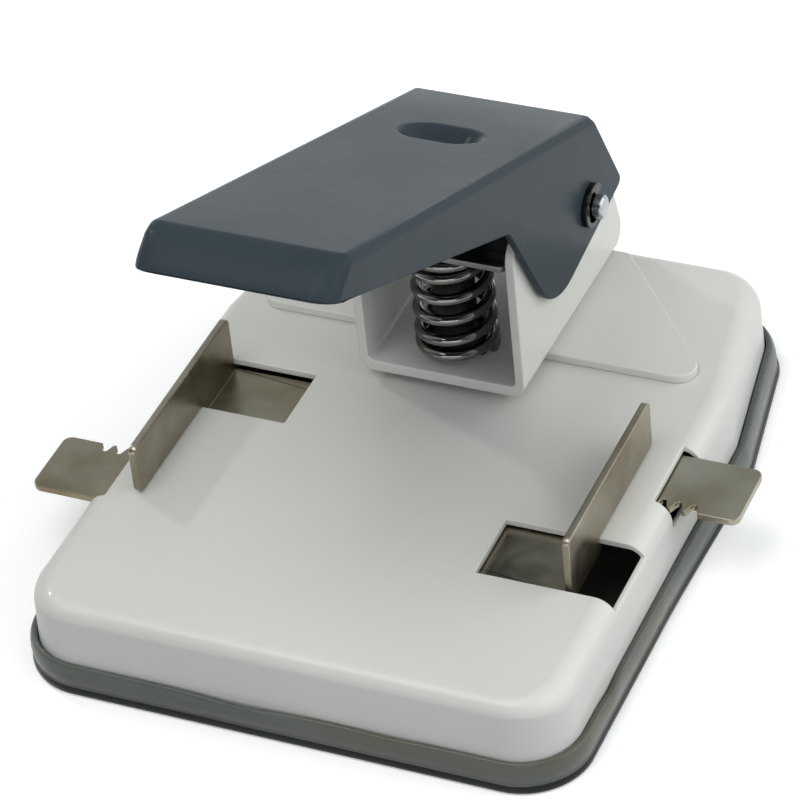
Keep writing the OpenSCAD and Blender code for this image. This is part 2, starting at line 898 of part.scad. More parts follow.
// Involute tooth: half its angle at radius r, in degrees
base_circle = pitch_r * cos(pressure);
function roll_angle(r) = sqrt(max(r * r / (base_circle * base_circle) - 1, 0)) * 180 / PI;
function involute(r) = roll_angle(r) - atan(roll_angle(r) * PI / 180);
function tooth_half(r) =
  (tooth_pitch - backlash) / 4 / pitch_r * 180 / PI + involute(pitch_r) - involute(max(r, base_circle));

module pinion() {
  flank = [for (i = [0:arc_steps]) pitch_r - tooth_root + (gear_m + tooth_root) * i / arc_steps];
  function on_flank(tooth, r, side) =
    let(turn = 90 + 360 * tooth / pinion_teeth + side * tooth_half(r))
    r * [cos(turn), sin(turn)];
  teeth = [
    for (tooth = [0:pinion_teeth - 1])
      each concat(
        [for (i = [0:arc_steps]) on_flank(tooth, flank[i], -1)],
        [for (i = [arc_steps:-1:0]) on_flank(tooth, flank[i], 1)]
      )
  ];
  color(steel)
    translate([0, pinion_y, strip_z])
      difference() {
        linear_extrude(guide_t)
          polygon(teeth);
        translate([0, 0, -over])
          cylinder(d = pinion_stud_d + 2 * pinion_fit, h = guide_t + 2 * over);
      }
}

// Outline of one gap between rack teeth, with the pitch line at y = 0
module rack_gap() {
  mid = (tooth_pitch + backlash) / 4;
  slope = tan(pressure);
  mouth = gear_m + over / 2;
  polygon([
    [-mid - mouth * slope, mouth], [-mid + tooth_root * slope, -tooth_root],
    [mid - tooth_root * slope, -tooth_root], [mid + mouth * slope, mouth]
  ]);
}

// One guide about the pinion: rack strip with its finger tab, leg and card wall
module guide() {
  strip = [
    [-tab_end, -strip_out, tab_r], [guide_half + guide_t, -strip_out, guide_t],
    [guide_half + guide_t, -strip_in, 0], [-tab_end, -strip_in, tab_r]
  ];
  wall_front = -strip_out + slide_gap;
  leg_back = -strip_in - 2 * slide_gap;
  wall_low = table_h + wall_gap;
  wall = [
    [wall_front, strip_z, 0], [leg_back, strip_z, 0], [leg_back, wall_low, 0],
    [wall_back, wall_low, guide_t], [wall_back, table_h + wall_h, guide_t],
    [wall_front, table_h + wall_h, guide_t]
  ];
  color(nickel)
    union() {
      translate([0, 0, strip_z])
        linear_extrude(guide_t)
          difference() {
            polygon(rounded(strip));
            for (i = [-rack_gaps:rack_back_gaps])
              translate([i * tooth_pitch, -pitch_r])
                rack_gap();
          }
      translate([guide_half + guide_t / 2, 0, 0])
        across(guide_t)
          polygon(rounded(wall));
    }
}

module right_guide() {
  translate([0, pinion_y, 0])
    guide();
}

module left_guide() {
  translate([0, pinion_y, 0])
    rotate([0, 0, 180])
      guide();
}

base_cover();
chip_tray();
stop_plate();
bracket();
lever();
pivot_pin();
pivot_clips();
return_spring();
spring_plate();
punch();
punch_cap();
cap_pin();
die_insert();
die_clamp();
die_screws();
reinforcement_plate();
bracket_screws();
bracket_washers();
guide_keeper();
keeper_studs();
keeper_nuts();
pinion_stud();
pinion();
right_guide();
left_guide();
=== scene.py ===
import json
import math

import bmesh
import bpy
from mathutils import Matrix, Vector


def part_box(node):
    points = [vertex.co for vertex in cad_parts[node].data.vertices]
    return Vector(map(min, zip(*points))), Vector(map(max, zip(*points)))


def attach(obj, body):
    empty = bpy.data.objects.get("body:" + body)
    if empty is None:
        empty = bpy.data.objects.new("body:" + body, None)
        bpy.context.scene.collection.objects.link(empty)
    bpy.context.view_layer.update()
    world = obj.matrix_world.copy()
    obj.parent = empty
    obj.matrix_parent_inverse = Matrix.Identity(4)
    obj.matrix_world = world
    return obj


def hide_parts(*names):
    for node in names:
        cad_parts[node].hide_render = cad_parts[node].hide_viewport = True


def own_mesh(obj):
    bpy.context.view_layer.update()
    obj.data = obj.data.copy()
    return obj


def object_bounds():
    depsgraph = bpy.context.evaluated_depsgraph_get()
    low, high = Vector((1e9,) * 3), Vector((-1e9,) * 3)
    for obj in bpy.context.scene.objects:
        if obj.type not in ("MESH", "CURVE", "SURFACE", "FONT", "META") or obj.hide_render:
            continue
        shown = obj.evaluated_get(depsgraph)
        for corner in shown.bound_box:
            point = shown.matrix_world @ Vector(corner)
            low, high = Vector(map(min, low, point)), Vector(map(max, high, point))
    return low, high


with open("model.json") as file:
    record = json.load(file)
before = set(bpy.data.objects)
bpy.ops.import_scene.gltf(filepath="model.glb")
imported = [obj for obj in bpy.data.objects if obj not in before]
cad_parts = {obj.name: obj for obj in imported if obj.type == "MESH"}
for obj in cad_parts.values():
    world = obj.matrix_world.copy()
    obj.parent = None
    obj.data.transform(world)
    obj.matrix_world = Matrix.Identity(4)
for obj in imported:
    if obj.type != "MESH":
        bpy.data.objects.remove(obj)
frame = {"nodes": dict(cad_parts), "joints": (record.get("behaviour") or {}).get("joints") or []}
cadLow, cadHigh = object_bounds()
scene = bpy.context.scene
joints = {joint["name"]: joint for joint in frame["joints"]}
mm = 0.001
hair = 0.001  # in mm, keeps faces that would coincide apart
near = 0.01  # in mm, how close counts as on a face
past = 1.0  # in mm, how far a cutter goes past what it cuts
print("frame loaded with", len(frame["nodes"]), "nodes")


def cadBox(node):
    low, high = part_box(node)
    return low / mm, high / mm


def smooth(value):
    value = min(max(value, 0), 1)
    return value * value * (3 - 2 * value)


def between(start, end, share):
    return start + (end - start) * share


# outlines and solids, all in millimetres until they become objects

def roundCorner(before, corner, after, radius, steps):
    toBefore = (before - corner).normalized()
    toAfter = (after - corner).normalized()
    half = toBefore.angle(toAfter) / 2
    centre = corner + (toBefore + toAfter).normalized() * radius / math.sin(half)
    first = corner + toBefore * radius / math.tan(half) - centre
    last = corner + toAfter * radius / math.tan(half) - centre
    turn = math.atan2(first.x * last.y - first.y * last.x, first.dot(last))
    points = []
    for i in range(steps + 1):
        at = math.atan2(first.y, first.x) + turn * i / steps
        points.append(centre + radius * Vector((math.cos(at), math.sin(at))))
    return points


def outline(corners, steps=8):
    points = []
    for i, (x, y, radius) in enumerate(corners):
        here = Vector((x, y))
        if radius <= 0:
            points.append(here)
            continue
        before = Vector(corners[i - 1][:2])
        after = Vector(corners[(i + 1) % len(corners)][:2])
        points += roundCorner(before, here, after, radius, steps)
    return points


def sharpCorner(limit, cornersAt, rounds=20, steps=24):
    # where the sharp corner lies, outside the rounded one that ends at the limit
    at = limit
    for _ in range(rounds):
        at += limit - max(p.x for p in outline(cornersAt(at), steps))
    return at


def rectangle(low, high, radius=0):
    corners = ((low[0], low[1]), (high[0], low[1]), (high[0], high[1]), (low[0], high[1]))
    return [(x, y, radius) for x, y in corners]


def circle(centre, radius, steps=40):
    turns = [2 * math.pi * i / steps for i in range(steps)]
    return [Vector((centre[0] + radius * math.cos(t), centre[1] + radius * math.sin(t))) for t in turns]


def slotOutline(centre, length, width, steps=12):
    half = length / 2
    low = (centre[0] - half, centre[1] - width / 2)
    high = (centre[0] + half, centre[1] + width / 2)
    return outline(rectangle(low, high, width / 2 - hair), steps)


def alongAxis(axis, point, height):
    if axis == "x":
        return Vector((height, point.x, point.y))
    if axis == "y":
        return Vector((point.x, height, point.y))
    return Vector((point.x, point.y, height))


def makePiece(name, bm, merge=0.0005):
    if merge:
        bmesh.ops.remove_doubles(bm, verts=bm.verts, dist=merge)
    bmesh.ops.recalc_face_normals(bm, faces=bm.faces)
    bmesh.ops.scale(bm, vec=(mm, mm, mm), verts=bm.verts)
    mesh = bpy.data.meshes.new(name)
    bm.to_mesh(mesh)
    bm.free()
    piece = bpy.data.objects.new(name, mesh)
    scene.collection.objects.link(piece)
    return piece


def addSides(bm, lower, upper):
    for i in range(len(lower)):
        j = (i + 1) % len(lower)
        bm.faces.new((lower[i], lower[j], upper[j], upper[i]))


def addPrism(bm, points, low, high, axis):
    lower, upper = ([bm.verts.new(alongAxis(axis, p, h)) for p in points] for h in (low, high))
    bm.faces.new(reversed(lower))
    bm.faces.new(upper)
    addSides(bm, lower, upper)


def prism(name, points, low, high, axis="z"):
    bm = bmesh.new()
    addPrism(bm, points, low, high, axis)
    return makePiece(name, bm)


def ringSolid(name, rings):
    bm = bmesh.new()
    loops = [[bm.verts.new(p) for p in ring] for ring in rings]
    for lower, upper in zip(loops, loops[1:]):
        addSides(bm, lower, upper)
    bm.faces.new(reversed(loops[0]))
    bm.faces.new(loops[-1])
    return makePiece(name, bm)


def turned(name, profile, centre, axis="x", steps=48):
    rings = []
    for along, radius in profile:
        rings.append([alongAxis(axis, p, along) for p in circle(centre, radius, steps)])
    return ringSolid(name, rings)


def bake(piece):
    graph = bpy.context.evaluated_depsgraph_get()
    mesh = bpy.data.meshes.new_from_object(piece.evaluated_get(graph))
    piece.modifiers.clear()
    old = piece.data
    piece.data = mesh
    bpy.data.meshes.remove(old)
    mesh.name = piece.name
    return piece


def discard(piece):
    mesh = piece.data
    bpy.data.objects.remove(piece)
    bpy.data.meshes.remove(mesh)


def mergeClose(piece, distance=0.004):
    bm = bmesh.new()
    bm.from_mesh(piece.data)
    bmesh.ops.remove_doubles(bm, verts=bm.verts, dist=distance * mm)
    bmesh.ops.dissolve_degenerate(bm, edges=bm.edges, dist=distance * mm)
    bm.to_mesh(piece.data)
    bm.free()
    return piece


def carve(piece, tools, how="DIFFERENCE"):
    for tool in tools:
        step = piece.modifiers.new("carve", "BOOLEAN")
        step.operation = how
        step.solver = "EXACT"
        step.object = tool
    bake(piece)
    for tool in tools:
        discard(tool)
    return mergeClose(piece)


def bore(piece, centre, radius, low, high, steps=40):
    return carve(piece, [prism("bore", circle(centre, radius, steps), low - past, high + past)])


def addBevel(piece, width, segments):
    bevel = piece.modifiers.new("edges", "BEVEL")
    bevel.width = width * mm
    bevel.segments = segments
    bevel.limit_method = "WEIGHT"
    bevel.use_clamp_overlap = False
    return bevel


def smoothFaces(piece):
    piece.data.polygons.foreach_set("use_smooth", [True] * len(piece.data.polygons))


def evenNormals(piece, keepSharp=False):
    smoothFaces(piece)
    step = piece.modifiers.new("flats", "WEIGHTED_NORMAL")
    step.weight = 100
    step.keep_sharp = keepSharp
    return bake(piece)


def soften(piece, width, segments=3, angle=40, sharp=None):
    # rounds the edges that turn by more than the angle, apart from those that stay sharp
    bm = bmesh.new()
    bm.from_mesh(piece.data)
    layers = bm.edges.layers.float
    weights = layers.get("bevel_weight_edge") or layers.new("bevel_weight_edge")
    for edge in bm.edges:
        middle = (edge.verts[0].co + edge.verts[1].co) / 2 / mm
        turns = len(edge.link_faces) == 2 and edge.calc_face_angle() > math.radians(angle)
        edge[weights] = 1.0 if turns and not (sharp and sharp(middle)) else 0.0
    bm.to_mesh(piece.data)
    bm.free()
    addBevel(piece, width, segments).miter_outer = "MITER_ARC"
    return evenNormals(piece, keepSharp=True)


def dress(piece, material, body, slot, *nodes):
    piece.data.materials.clear()
    piece.data.materials.append(material)
    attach(piece, body)
    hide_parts(*nodes)
    return piece


# nodes and materials

def feed(tree, socket, value):
    if isinstance(value, bpy.types.NodeSocket):
        tree.links.new(value, socket)
    else:
        socket.default_value = value


def feedAll(tree, node, inputs):
    for name, value in inputs.items():
        feed(tree, node.inputs[name], value)
    return node


def addNode(tree, kind, inputs):
    return feedAll(tree, tree.nodes.new(kind), inputs).outputs[0]


def nodeMath(tree, how, first, second=None):
    node = tree.nodes.new("ShaderNodeMath")
    node.operation = how
    feed(tree, node.inputs[0], first)
    if second is not None:
        feed(tree, node.inputs[1], second)
    return node.outputs[0]


def newMaterial(name):
    material = bpy.data.materials.new(name)
    material.use_nodes = True
    tree = material.node_tree
    return material, tree, tree.nodes["Principled BSDF"]


def objectPoint(tree, stretch=(1, 1, 1)):
    place = tree.nodes.new("ShaderNodeTexCoord").outputs["Object"]
    return addNode(tree, "ShaderNodeMapping", {"Vector": place, "Scale": stretch})


def noise(tree, scale, detail=3.0, stretch=(1, 1, 1)):
    inputs = {"Scale": scale, "Detail": detail, "Vector": objectPoint(tree, stretch)}
    return addNode(tree, "ShaderNodeTexNoise", inputs)


def ramp(tree, source, stops):
    node = feedAll(tree, tree.nodes.new("ShaderNodeValToRGB"), {"Fac": source})
    elements = node.color_ramp.elements
    while len(elements) < len(stops):
        elements.new(0.5)
    for element, (at, colour) in zip(elements, stops):
        element.position = at
        element.color = (*colour, 1)
    return node.outputs["Color"]


def mapRange(tree, source, fromLow, fromHigh, toLow, toHigh):
    inputs = {"Value": source, "From Min": fromLow, "From Max": fromHigh, "To Min": toLow, "To Max": toHigh}
    return addNode(tree, "ShaderNodeMapRange", inputs)


def blendColour(tree, factor, first, second):
    node = tree.nodes.new("ShaderNodeMix")
    node.data_type = "RGBA"
    feed(tree, node.inputs["Factor"], factor)
    for socket, colour in zip(node.inputs[6:8], (first, second)):  # its two colour sockets
        feed(tree, socket, (*colour, 1) if isinstance(colour, tuple) else colour)
    return node.outputs[2]


def bump(tree, shader, height, strength, distance):
    inputs = {"Strength": strength, "Distance": distance, "Height": height}
    feed(tree, shader.inputs["Normal"], addNode(tree, "ShaderNodeBump", inputs))


noiseReach = (0.3, 0.7)  # where nearly all of a noise lies
paintDetail = {"speckFade": 1.6, "speckStep": 0.02, "glossSpread": 0.04, "peelHeight": 0.0001}


def unevenGloss(tree, scale, rough, spread):
    return mapRange(tree, noise(tree, scale), *noiseReach, rough - spread, rough + spread)


def paint(name, look):
    material, tree, shader = newMaterial(name)
    stops = list(zip(noiseReach, (look["dark"], look["light"])))
    shade = ramp(tree, noise(tree, look["mottleScale"]), stops)
    cells = tree.nodes.new("ShaderNodeTexVoronoi")
    feedAll(tree, cells, {"Scale": look["speckScale"], "Vector": objectPoint(tree)})
    size, rare = look["speckSize"], look["speckRare"]
    close = mapRange(tree, cells.outputs["Distance"], size, size * paintDetail["speckFade"], 1, 0)
    some = mapRange(tree, cells.outputs["Color"], rare, rare + paintDetail["speckStep"], 0, 1)
    feedAll(tree, shader, {
        "Base Color": blendColour(tree, nodeMath(tree, "MULTIPLY", close, some), shade, look["speck"]),
        "Roughness": unevenGloss(tree, look["glossScale"], look["rough"], paintDetail["glossSpread"]),
        "Specular IOR Level": look["specular"],
        "Coat Weight": look["coat"], "Coat Roughness": look["coatRough"],
    })
    bump(tree, shader, noise(tree, look["peelScale"], detail=0), look["peel"], paintDetail["peelHeight"])
    return material


coverPaint = paint("coverPaint", {
    "dark": (0.575, 0.570, 0.538), "light": (0.610, 0.605, 0.572), "mottleScale": 14,
    "speck": (0.16, 0.15, 0.13), "speckScale": 90, "speckSize": 0.024, "speckRare": 0.70, "rough": 0.38,
    "glossScale": 30, "specular": 0.34, "coat": 0.18, "coatRough": 0.10, "peelScale": 600, "peel": 0.02,
})
leverPaint = paint("leverPaint", {
    "dark": (0.031, 0.042, 0.051), "light": (0.036, 0.049, 0.059), "mottleScale": 22,
    "speck": (0.012, 0.014, 0.016), "speckScale": 90, "speckSize": 0.012, "speckRare": 0.80, "rough": 0.27,
    "glossScale": 40, "specular": 0.036, "coat": 0.0, "coatRough": 0.08, "peelScale": 500, "peel": 0.010,
})

vinylDetail = {
    "stops": (0.30, 0.55, 0.75), "smearDetail": 4.0, "glossScale": 60, "glossSpread": 0.06, "soft": 0.08,
    "softRadius": (0.9, 1.0, 0.8), "softScale": 0.001,
    "grainScale": 200, "grain": 0.06, "grainHeight": 0.0003,
}


def vinyl(name, look):
    material, tree, shader = newMaterial(name)
    detail = vinylDetail
    smear = noise(tree, look["smearScale"], detail["smearDetail"], look["smearStretch"])
    stops = list(zip(detail["stops"], (look["dark"], look["light"], look["stain"])))
    feedAll(tree, shader, {
        "Base Color": ramp(tree, smear, stops), "Specular IOR Level": look["specular"],
        "Roughness": unevenGloss(tree, detail["glossScale"], look["rough"], detail["glossSpread"]),
        "Subsurface Weight": detail["soft"], "Subsurface Radius": detail["softRadius"],
        "Subsurface Scale": detail["softScale"],
    })
    bump(tree, shader, noise(tree, detail["grainScale"], detail=0), detail["grain"], detail["grainHeight"])
    return material


trayVinyl = vinyl("trayVinyl", {
    "dark": (0.062, 0.072, 0.066), "light": (0.094, 0.103, 0.092), "stain": (0.090, 0.078, 0.040),
    "smearScale": 34, "smearStretch": (0.5, 0.5, 2.2), "rough": 0.30, "specular": 0.35,
})
# near-black vinyl that the tray's lowest rings are given, so the foot is much darker than the wall above it
hemVinyl = vinyl("hemVinyl", {
    "dark": (0.006, 0.007, 0.007), "light": (0.011, 0.012, 0.012), "stain": (0.016, 0.014, 0.010),
    "smearScale": 50, "smearStretch": (0.5, 0.5, 2.0), "rough": 0.34, "specular": 0.18,
})

metalDetail = {"stops": (0.32, 0.68), "toneDetail": 4.0, "grainDetail": 2.0, "grainHeight": 0.00005}


def metal(name, look):
    material, tree, shader = newMaterial(name)
    tone = noise(tree, look["toneScale"], metalDetail["toneDetail"])
    grain = noise(tree, look["grainScale"], metalDetail["grainDetail"], look["grain"])
    feedAll(tree, shader, {
        "Base Color": ramp(tree, tone, list(zip(metalDetail["stops"], (look["dark"], look["light"])))),
        "Metallic": look.get("metallic", 1.0), "Specular IOR Level": look.get("specular", 0.5),
        "Roughness": mapRange(tree, grain, *noiseReach, *look["rough"]),
    })
    bump(tree, shader, grain, look["scratch"], metalDetail["grainHeight"])
    return material


nickel = metal("nickel", {
    "dark": (0.215, 0.178, 0.112), "light": (0.410, 0.380, 0.312), "toneScale": 44,
    "grainScale": 600, "grain": (0.5, 0.5, 0.5), "rough": (0.28, 0.38), "scratch": 0.012,
})
zincSteel = metal("zincSteel", {
    "dark": (0.40, 0.41, 0.42), "light": (0.52, 0.53, 0.54), "toneScale": 80,
    "grainScale": 600, "grain": (0.3, 1.0, 1.0), "rough": (0.24, 0.38), "scratch": 0.15,
})
barSteel = metal("barSteel", {
    "dark": (0.16, 0.16, 0.16), "light": (0.25, 0.25, 0.25), "toneScale": 90,
    "grainScale": 900, "grain": (0.2, 1.0, 1.0), "rough": (0.26, 0.40), "scratch": 0.06,
})
springSteel = metal("springSteel", {
    "dark": (0.19, 0.187, 0.180), "light": (0.28, 0.276, 0.268), "toneScale": 120,
    "grainScale": 600, "grain": (1.0, 1.0, 0.4), "rough": (0.08, 0.14), "scratch": 0.01,
})
toolSteel = metal("toolSteel", {
    "dark": (0.022, 0.022, 0.022), "light": (0.040, 0.039, 0.037), "metallic": 0.9, "toneScale": 90,
    "grainScale": 500, "grain": (1.0, 1.0, 0.5), "rough": (0.28, 0.42), "scratch": 0.10,
})
pinSteel = metal("pinSteel", {
    "dark": (0.30, 0.33, 0.36), "light": (0.42, 0.45, 0.48), "toneScale": 150,
    "grainScale": 900, "grain": (0.4, 1.0, 1.0), "rough": (0.20, 0.30), "scratch": 0.08,
})
blackOxide = metal("blackOxide", {
    "dark": (0.005, 0.005, 0.006), "light": (0.012, 0.012, 0.013), "metallic": 0.1, "toneScale": 200,
    "grainScale": 700, "grain": (1.0, 1.0, 1.0), "rough": (0.16, 0.24), "scratch": 0.06, "specular": 0.18,
})
print("materials made:", len(bpy.data.materials))


# cover: drawn shell with rolled edge, two windows and two side slots

coverSizes = {
    "frontRound": 12.0, "taperRound": 10.0, "rearRound": 12.0, "taperLength": 41.0, "taperIn": 6.5,
    "roll": 4.5, "frontRoll": 3.2, "frontFrom": 0.4, "sheet": 1.5, "rollSteps": 10, "cornerSteps": 16,
    "passGap": 0.5, "endGap": 0.4, "windowDepth": 2.8, "slotDepth": 6.4, "rollStart": 1.0, "edge": 0.28,
    "sideLean": 1.0, "insideLean": 0.35, "leastSteps": 4,
}
# the cover's openings follow the guides, the die and the bracket's screws, so their sizes come here
guideSizes = {
    "sheet": 1.5, "stripWidth": 16.1, "tabRound": 2.0, "wallRound": 1.5, "legRound": 0.4, "pitch": math.pi,
    "gapsToTab": 19, "gapsToWall": 8, "pitchOffset": 1.0, "toothRoot": 1.25, "pressure": 20, "play": 0.3,
    "endGap": 0.4, "wallLift": 3.8, "edge": 0.22,
}
dieSizes = {"rimLength": 16.2, "rimWidth": 7.2}
screwSizes = {
    "head": 7.0, "hole": 4.2, "shank": 4.0, "headHeight": 2.0, "recess": 4.0, "recessWidth": 0.9,
    "recessDepth": 1.1,
}
pinionY = joints["pinion_spin"]["pos_m"][1] / mm
guideLow, guideHigh = cadBox("right_guide")
guideIn = -joints["right_guide_slide"]["range_m"][0] / mm


def baseOutline(sizes, grow=0, straight=1):
    # each point comes with the direction that leads out of the outline
    halfX, halfY = cadBox("base_cover")[1][:2]
    front, bend, rear = sizes["frontRound"], sizes["taperRound"], sizes["rearRound"]
    turn = math.atan2(sizes["taperIn"], sizes["taperLength"])
    bendY = halfY - sizes["taperLength"] - bend * math.tan(turn / 2)
    rearX = halfX - (sizes["taperLength"] - rear) * math.tan(turn) - rear / math.cos(turn)
    quarter = math.pi / 2
    right = [(halfX - front, front - halfY, front, -quarter, 0), (halfX - bend, bendY, bend, 0, turn),
             (rearX, halfY - rear, rear, turn, quarter)]
    left = [(-x, y, radius, 2 * quarter - end, 2 * quarter - start)
            for x, y, radius, start, end in reversed(right)]
    arcs = []
    for x, y, radius, start, end in right + left:
        steps = max(sizes["leastSteps"], round(sizes["cornerSteps"] * (end - start) / quarter))
        turns = [start + (end - start) * i / steps for i in range(steps + 1)]
        ways = [Vector((math.cos(t), math.sin(t))) for t in turns]
        arcs.append([(Vector((x, y)) + (radius + grow) * way, way) for way in ways])
    points = []
    for n, arc in enumerate(arcs):
        points += arc
        end, way = arcs[(n + 1) % len(arcs)][0]
        points += [(arc[-1][0].lerp(end, k / straight), way) for k in range(1, straight)]
    return points


def halfTurn(points):
    # the left guide and its openings are the right ones turned about the pinion
    return [Vector((-p.x, 2 * pinionY - p.y)) for p in points]


def bracketHoles(low, high):
    screwLow, screwHigh = cadBox("bracket_screws")
    head = screwSizes["head"] / 2
    tools = []
    for x in (screwLow.x + head, screwHigh.x - head):
        for y in (screwLow.y + head, screwHigh.y - head):
            tools.append(prism("screwHole", circle((x, y), screwSizes["hole"] / 2), low, high))
    return tools


def makeCover(sizes):
    low, high = cadBox("base_cover")
    base = baseOutline(sizes)

    def rollAt(way):
        facing = (-way.y - sizes["frontFrom"]) / (1 - sizes["frontFrom"])
        return between(sizes["roll"], sizes["frontRoll"], smooth(facing))

    def shell(inset):
        lean = sizes["insideLean"] if inset else sizes["sideLean"]  # the guides need their room inside
        rings = [[Vector((*(p - way * inset), low.z)) for p, way in base]]
        for i in range(sizes["rollSteps"] + 1):
            at = math.pi / 2 * i / sizes["rollSteps"]
            ring = []
            for p, way in base:
                roll = rollAt(way) - inset
                place = p - way * (inset + roll * (1 - math.cos(at)))
                z = high.z - inset - roll * (1 - math.sin(at))
                place.x -= way.x * lean * (z - low.z) / (high.z - low.z)
                ring.append(Vector((*place, z)))
            rings.append(ring)
        return rings

    sheet, gap = sizes["sheet"], sizes["passGap"]
    cover = ringSolid("cover_shell", list(reversed(shell(sheet))) + shell(0))
    front, width = guideLow.y - gap, guideSizes["stripWidth"]
    wallInside = guideHigh.x - guideSizes["sheet"] - guideIn - gap
    windowEnd = (high.x + past, front + width + gap - sizes["endGap"])
    window = outline(rectangle((wallInside, front), windowEnd))
    rollEnd = low.x + sizes["roll"] + sizes["sideLean"]
    slotEnd = (rollEnd - sizes["rollStart"], front + width + 2 * gap)
    slot = outline(rectangle((low.x - past, front), slotEnd))
    dieLow, dieHigh = cadBox("die_insert")
    rim = slotOutline((0, (dieLow.y + dieHigh.y) / 2), dieSizes["rimLength"], dieSizes["rimWidth"])
    under, over = high.z - sheet - past, high.z + past
    tools = []
    for n, turn in enumerate((list, halfTurn)):
        tools.append(prism(f"window{n}", turn(window), high.z - sizes["windowDepth"], over))
        tools.append(prism(f"slot{n}", turn(slot), high.z - sizes["slotDepth"], over))
    tools.append(prism("dieHole", rim, under, over))
    carve(cover, tools + bracketHoles(under, over))
    soften(cover, sizes["edge"], segments=2, angle=50)
    return dress(cover, coverPaint, "base", "cover_paint", "base_cover")


cover = makeCover(coverSizes)
print("cover:", len(cover.data.polygons), "faces")


# tray: soft moulded tray, loose from the cover along a few stretches

traySizes = {
    "floor": 1.5, "straight": 48, "darkFootRings": 6, "insideFrom": -1.2, "hug": 0.9,
    "flare": 1.3, "flareFrom": -20.0, "flareOver": 50.0, "looseRise": 1.5, "looseReach": 2.2, "faceOn": 0.9,
    "loose": [  # side, place along it, half length, outward, downward
        ("front", -8.0, 13.0, 0.55, 0.40), ("front", 22.0, 9.0, 0.22, 0.12),
        ("right", -46.0, 5.0, 0.40, 0.25), ("right", 18.0, 20.0, 0.15, 0.10),
        ("left", 8.0, 16.0, 0.20, 0.15), ("rear", 5.0, 18.0, 0.20, 0.15),
    ],
    "profile": [  # out from the foot's outline and up, round the wall's section
        (-1.10, 0.00), (-0.55, 0.06), (-0.20, 0.28), (-0.04, 0.70), (0.00, 1.20), (-0.05, 1.80),
        (-0.18, 2.08), (-0.36, 2.26), (-0.34, 2.50), (-0.20, 3.10), (-0.07, 3.90), (-0.03, 4.70),
        (-0.09, 5.60), (-0.24, 6.40), (-0.42, 6.90), (-0.66, 7.20), (-0.94, 7.30), (-1.26, 7.25),
        (-1.47, 7.05), (-1.50, 6.60), (-1.50, 2.20), (-1.62, 1.72), (-2.00, 1.50),
    ],
}


def looseShare(sizes, point, way, z, top):
    # how far the soft wall stands off the cover here
    out = down = 0
    rise = max(0, (z - sizes["floor"]) / (top - sizes["floor"])) ** sizes["looseRise"]
    for side, at, half, outward, downward in sizes["loose"]:
        facing = {"front": -way.y, "rear": way.y, "right": way.x, "left": -way.x}[side]
        along = point.x if side in ("front", "rear") else point.y
        away = (along - at) / half
        if facing < sizes["faceOn"] or abs(away) > sizes["looseReach"]:
            continue
        share = math.exp(-2 * away * away) * rise
        out += outward * share
        down += downward * share
    return out, down


def makeTray(sizes):
    high = cadBox("chip_tray")[1]
    coverHigh = cadBox("base_cover")[1]
    base = baseOutline(coverSizes, high.y - coverHigh.y, sizes["straight"])
    rings = []
    for offset, z in sizes["profile"]:
        ring = []
        for p, way in base:
            out, down = looseShare(sizes, p, way, z, high.z)
            place = p + way * (offset + out)
            if offset < sizes["insideFrom"]:  # the inside follows the cover's leaning sides
                place.x -= way.x * sizes["hug"] * coverSizes["sideLean"] * z / coverHigh.z
            # the soft wall leans out at its foot towards the back
            back = smooth((p.y - sizes["flareFrom"]) / sizes["flareOver"])
            lean = sizes["flare"] * back * (1 - z / high.z)
            ring.append(Vector((place.x * (1 + lean / high.x), place.y, z - down)))
        rings.append(ring)
    tray = evenNormals(ringSolid("soft_tray", rings))
    dress(tray, trayVinyl, "tray", "tray_vinyl", "chip_tray")
    tray.data.materials.append(hemVinyl)
    # the lowest rings of the wall, up to the top of the foot, take the near-black vinyl
    for face in tray.data.polygons[:sizes["darkFootRings"] * len(base)]:
        face.material_index = 1
    return tray


tray = makeTray(traySizes)
print("tray:", len(tray.data.polygons), "faces")


# stop plate

stopSizes = {"frontRound": 4.0, "backRound": 2.0, "backWidth": 42.0, "edge": 0.35}


def makeStop(sizes):
    low, high = cadBox("stop_plate")
    back = sizes["backWidth"] / 2

    def corners(half):
        return [(-half, low.y, sizes["frontRound"]), (half, low.y, sizes["frontRound"]),
                (back, high.y, sizes["backRound"]), (-back, high.y, sizes["backRound"])]

    plate = prism("card_stop", outline(corners(sharpCorner(high.x, corners))), low.z, high.z)
    carve(plate, bracketHoles(low.z - past, high.z + past))
    soften(plate, sizes["edge"])
    return dress(plate, coverPaint, "base", "cover_paint", "stop_plate")


stop = makeStop(stopSizes)


# bracket: bent channel that carries pin and spring

bracketSizes = {
    "wall": 2.0, "floor": 2.5, "frontBend": 3.5, "rearBend": 1.2, "leastBend": 0.3, "bendSteps": 12,
    "footRound": 5.0, "frontRound": 5.0, "lobe": 13.5, "lobeBack": 10.0, "pinHole": 5.1, "slotLength": 12.1,
    "slotWidth": 3.1, "edge": 0.35, "over": 4.0,
}
hinge = Vector(joints["lever_hinge"]["pos_m"]) / mm
punchLow, punchHigh = cadBox("punch")
punchY = (punchLow.y + punchHigh.y) / 2
leverHalf = cadBox("lever")[1].x


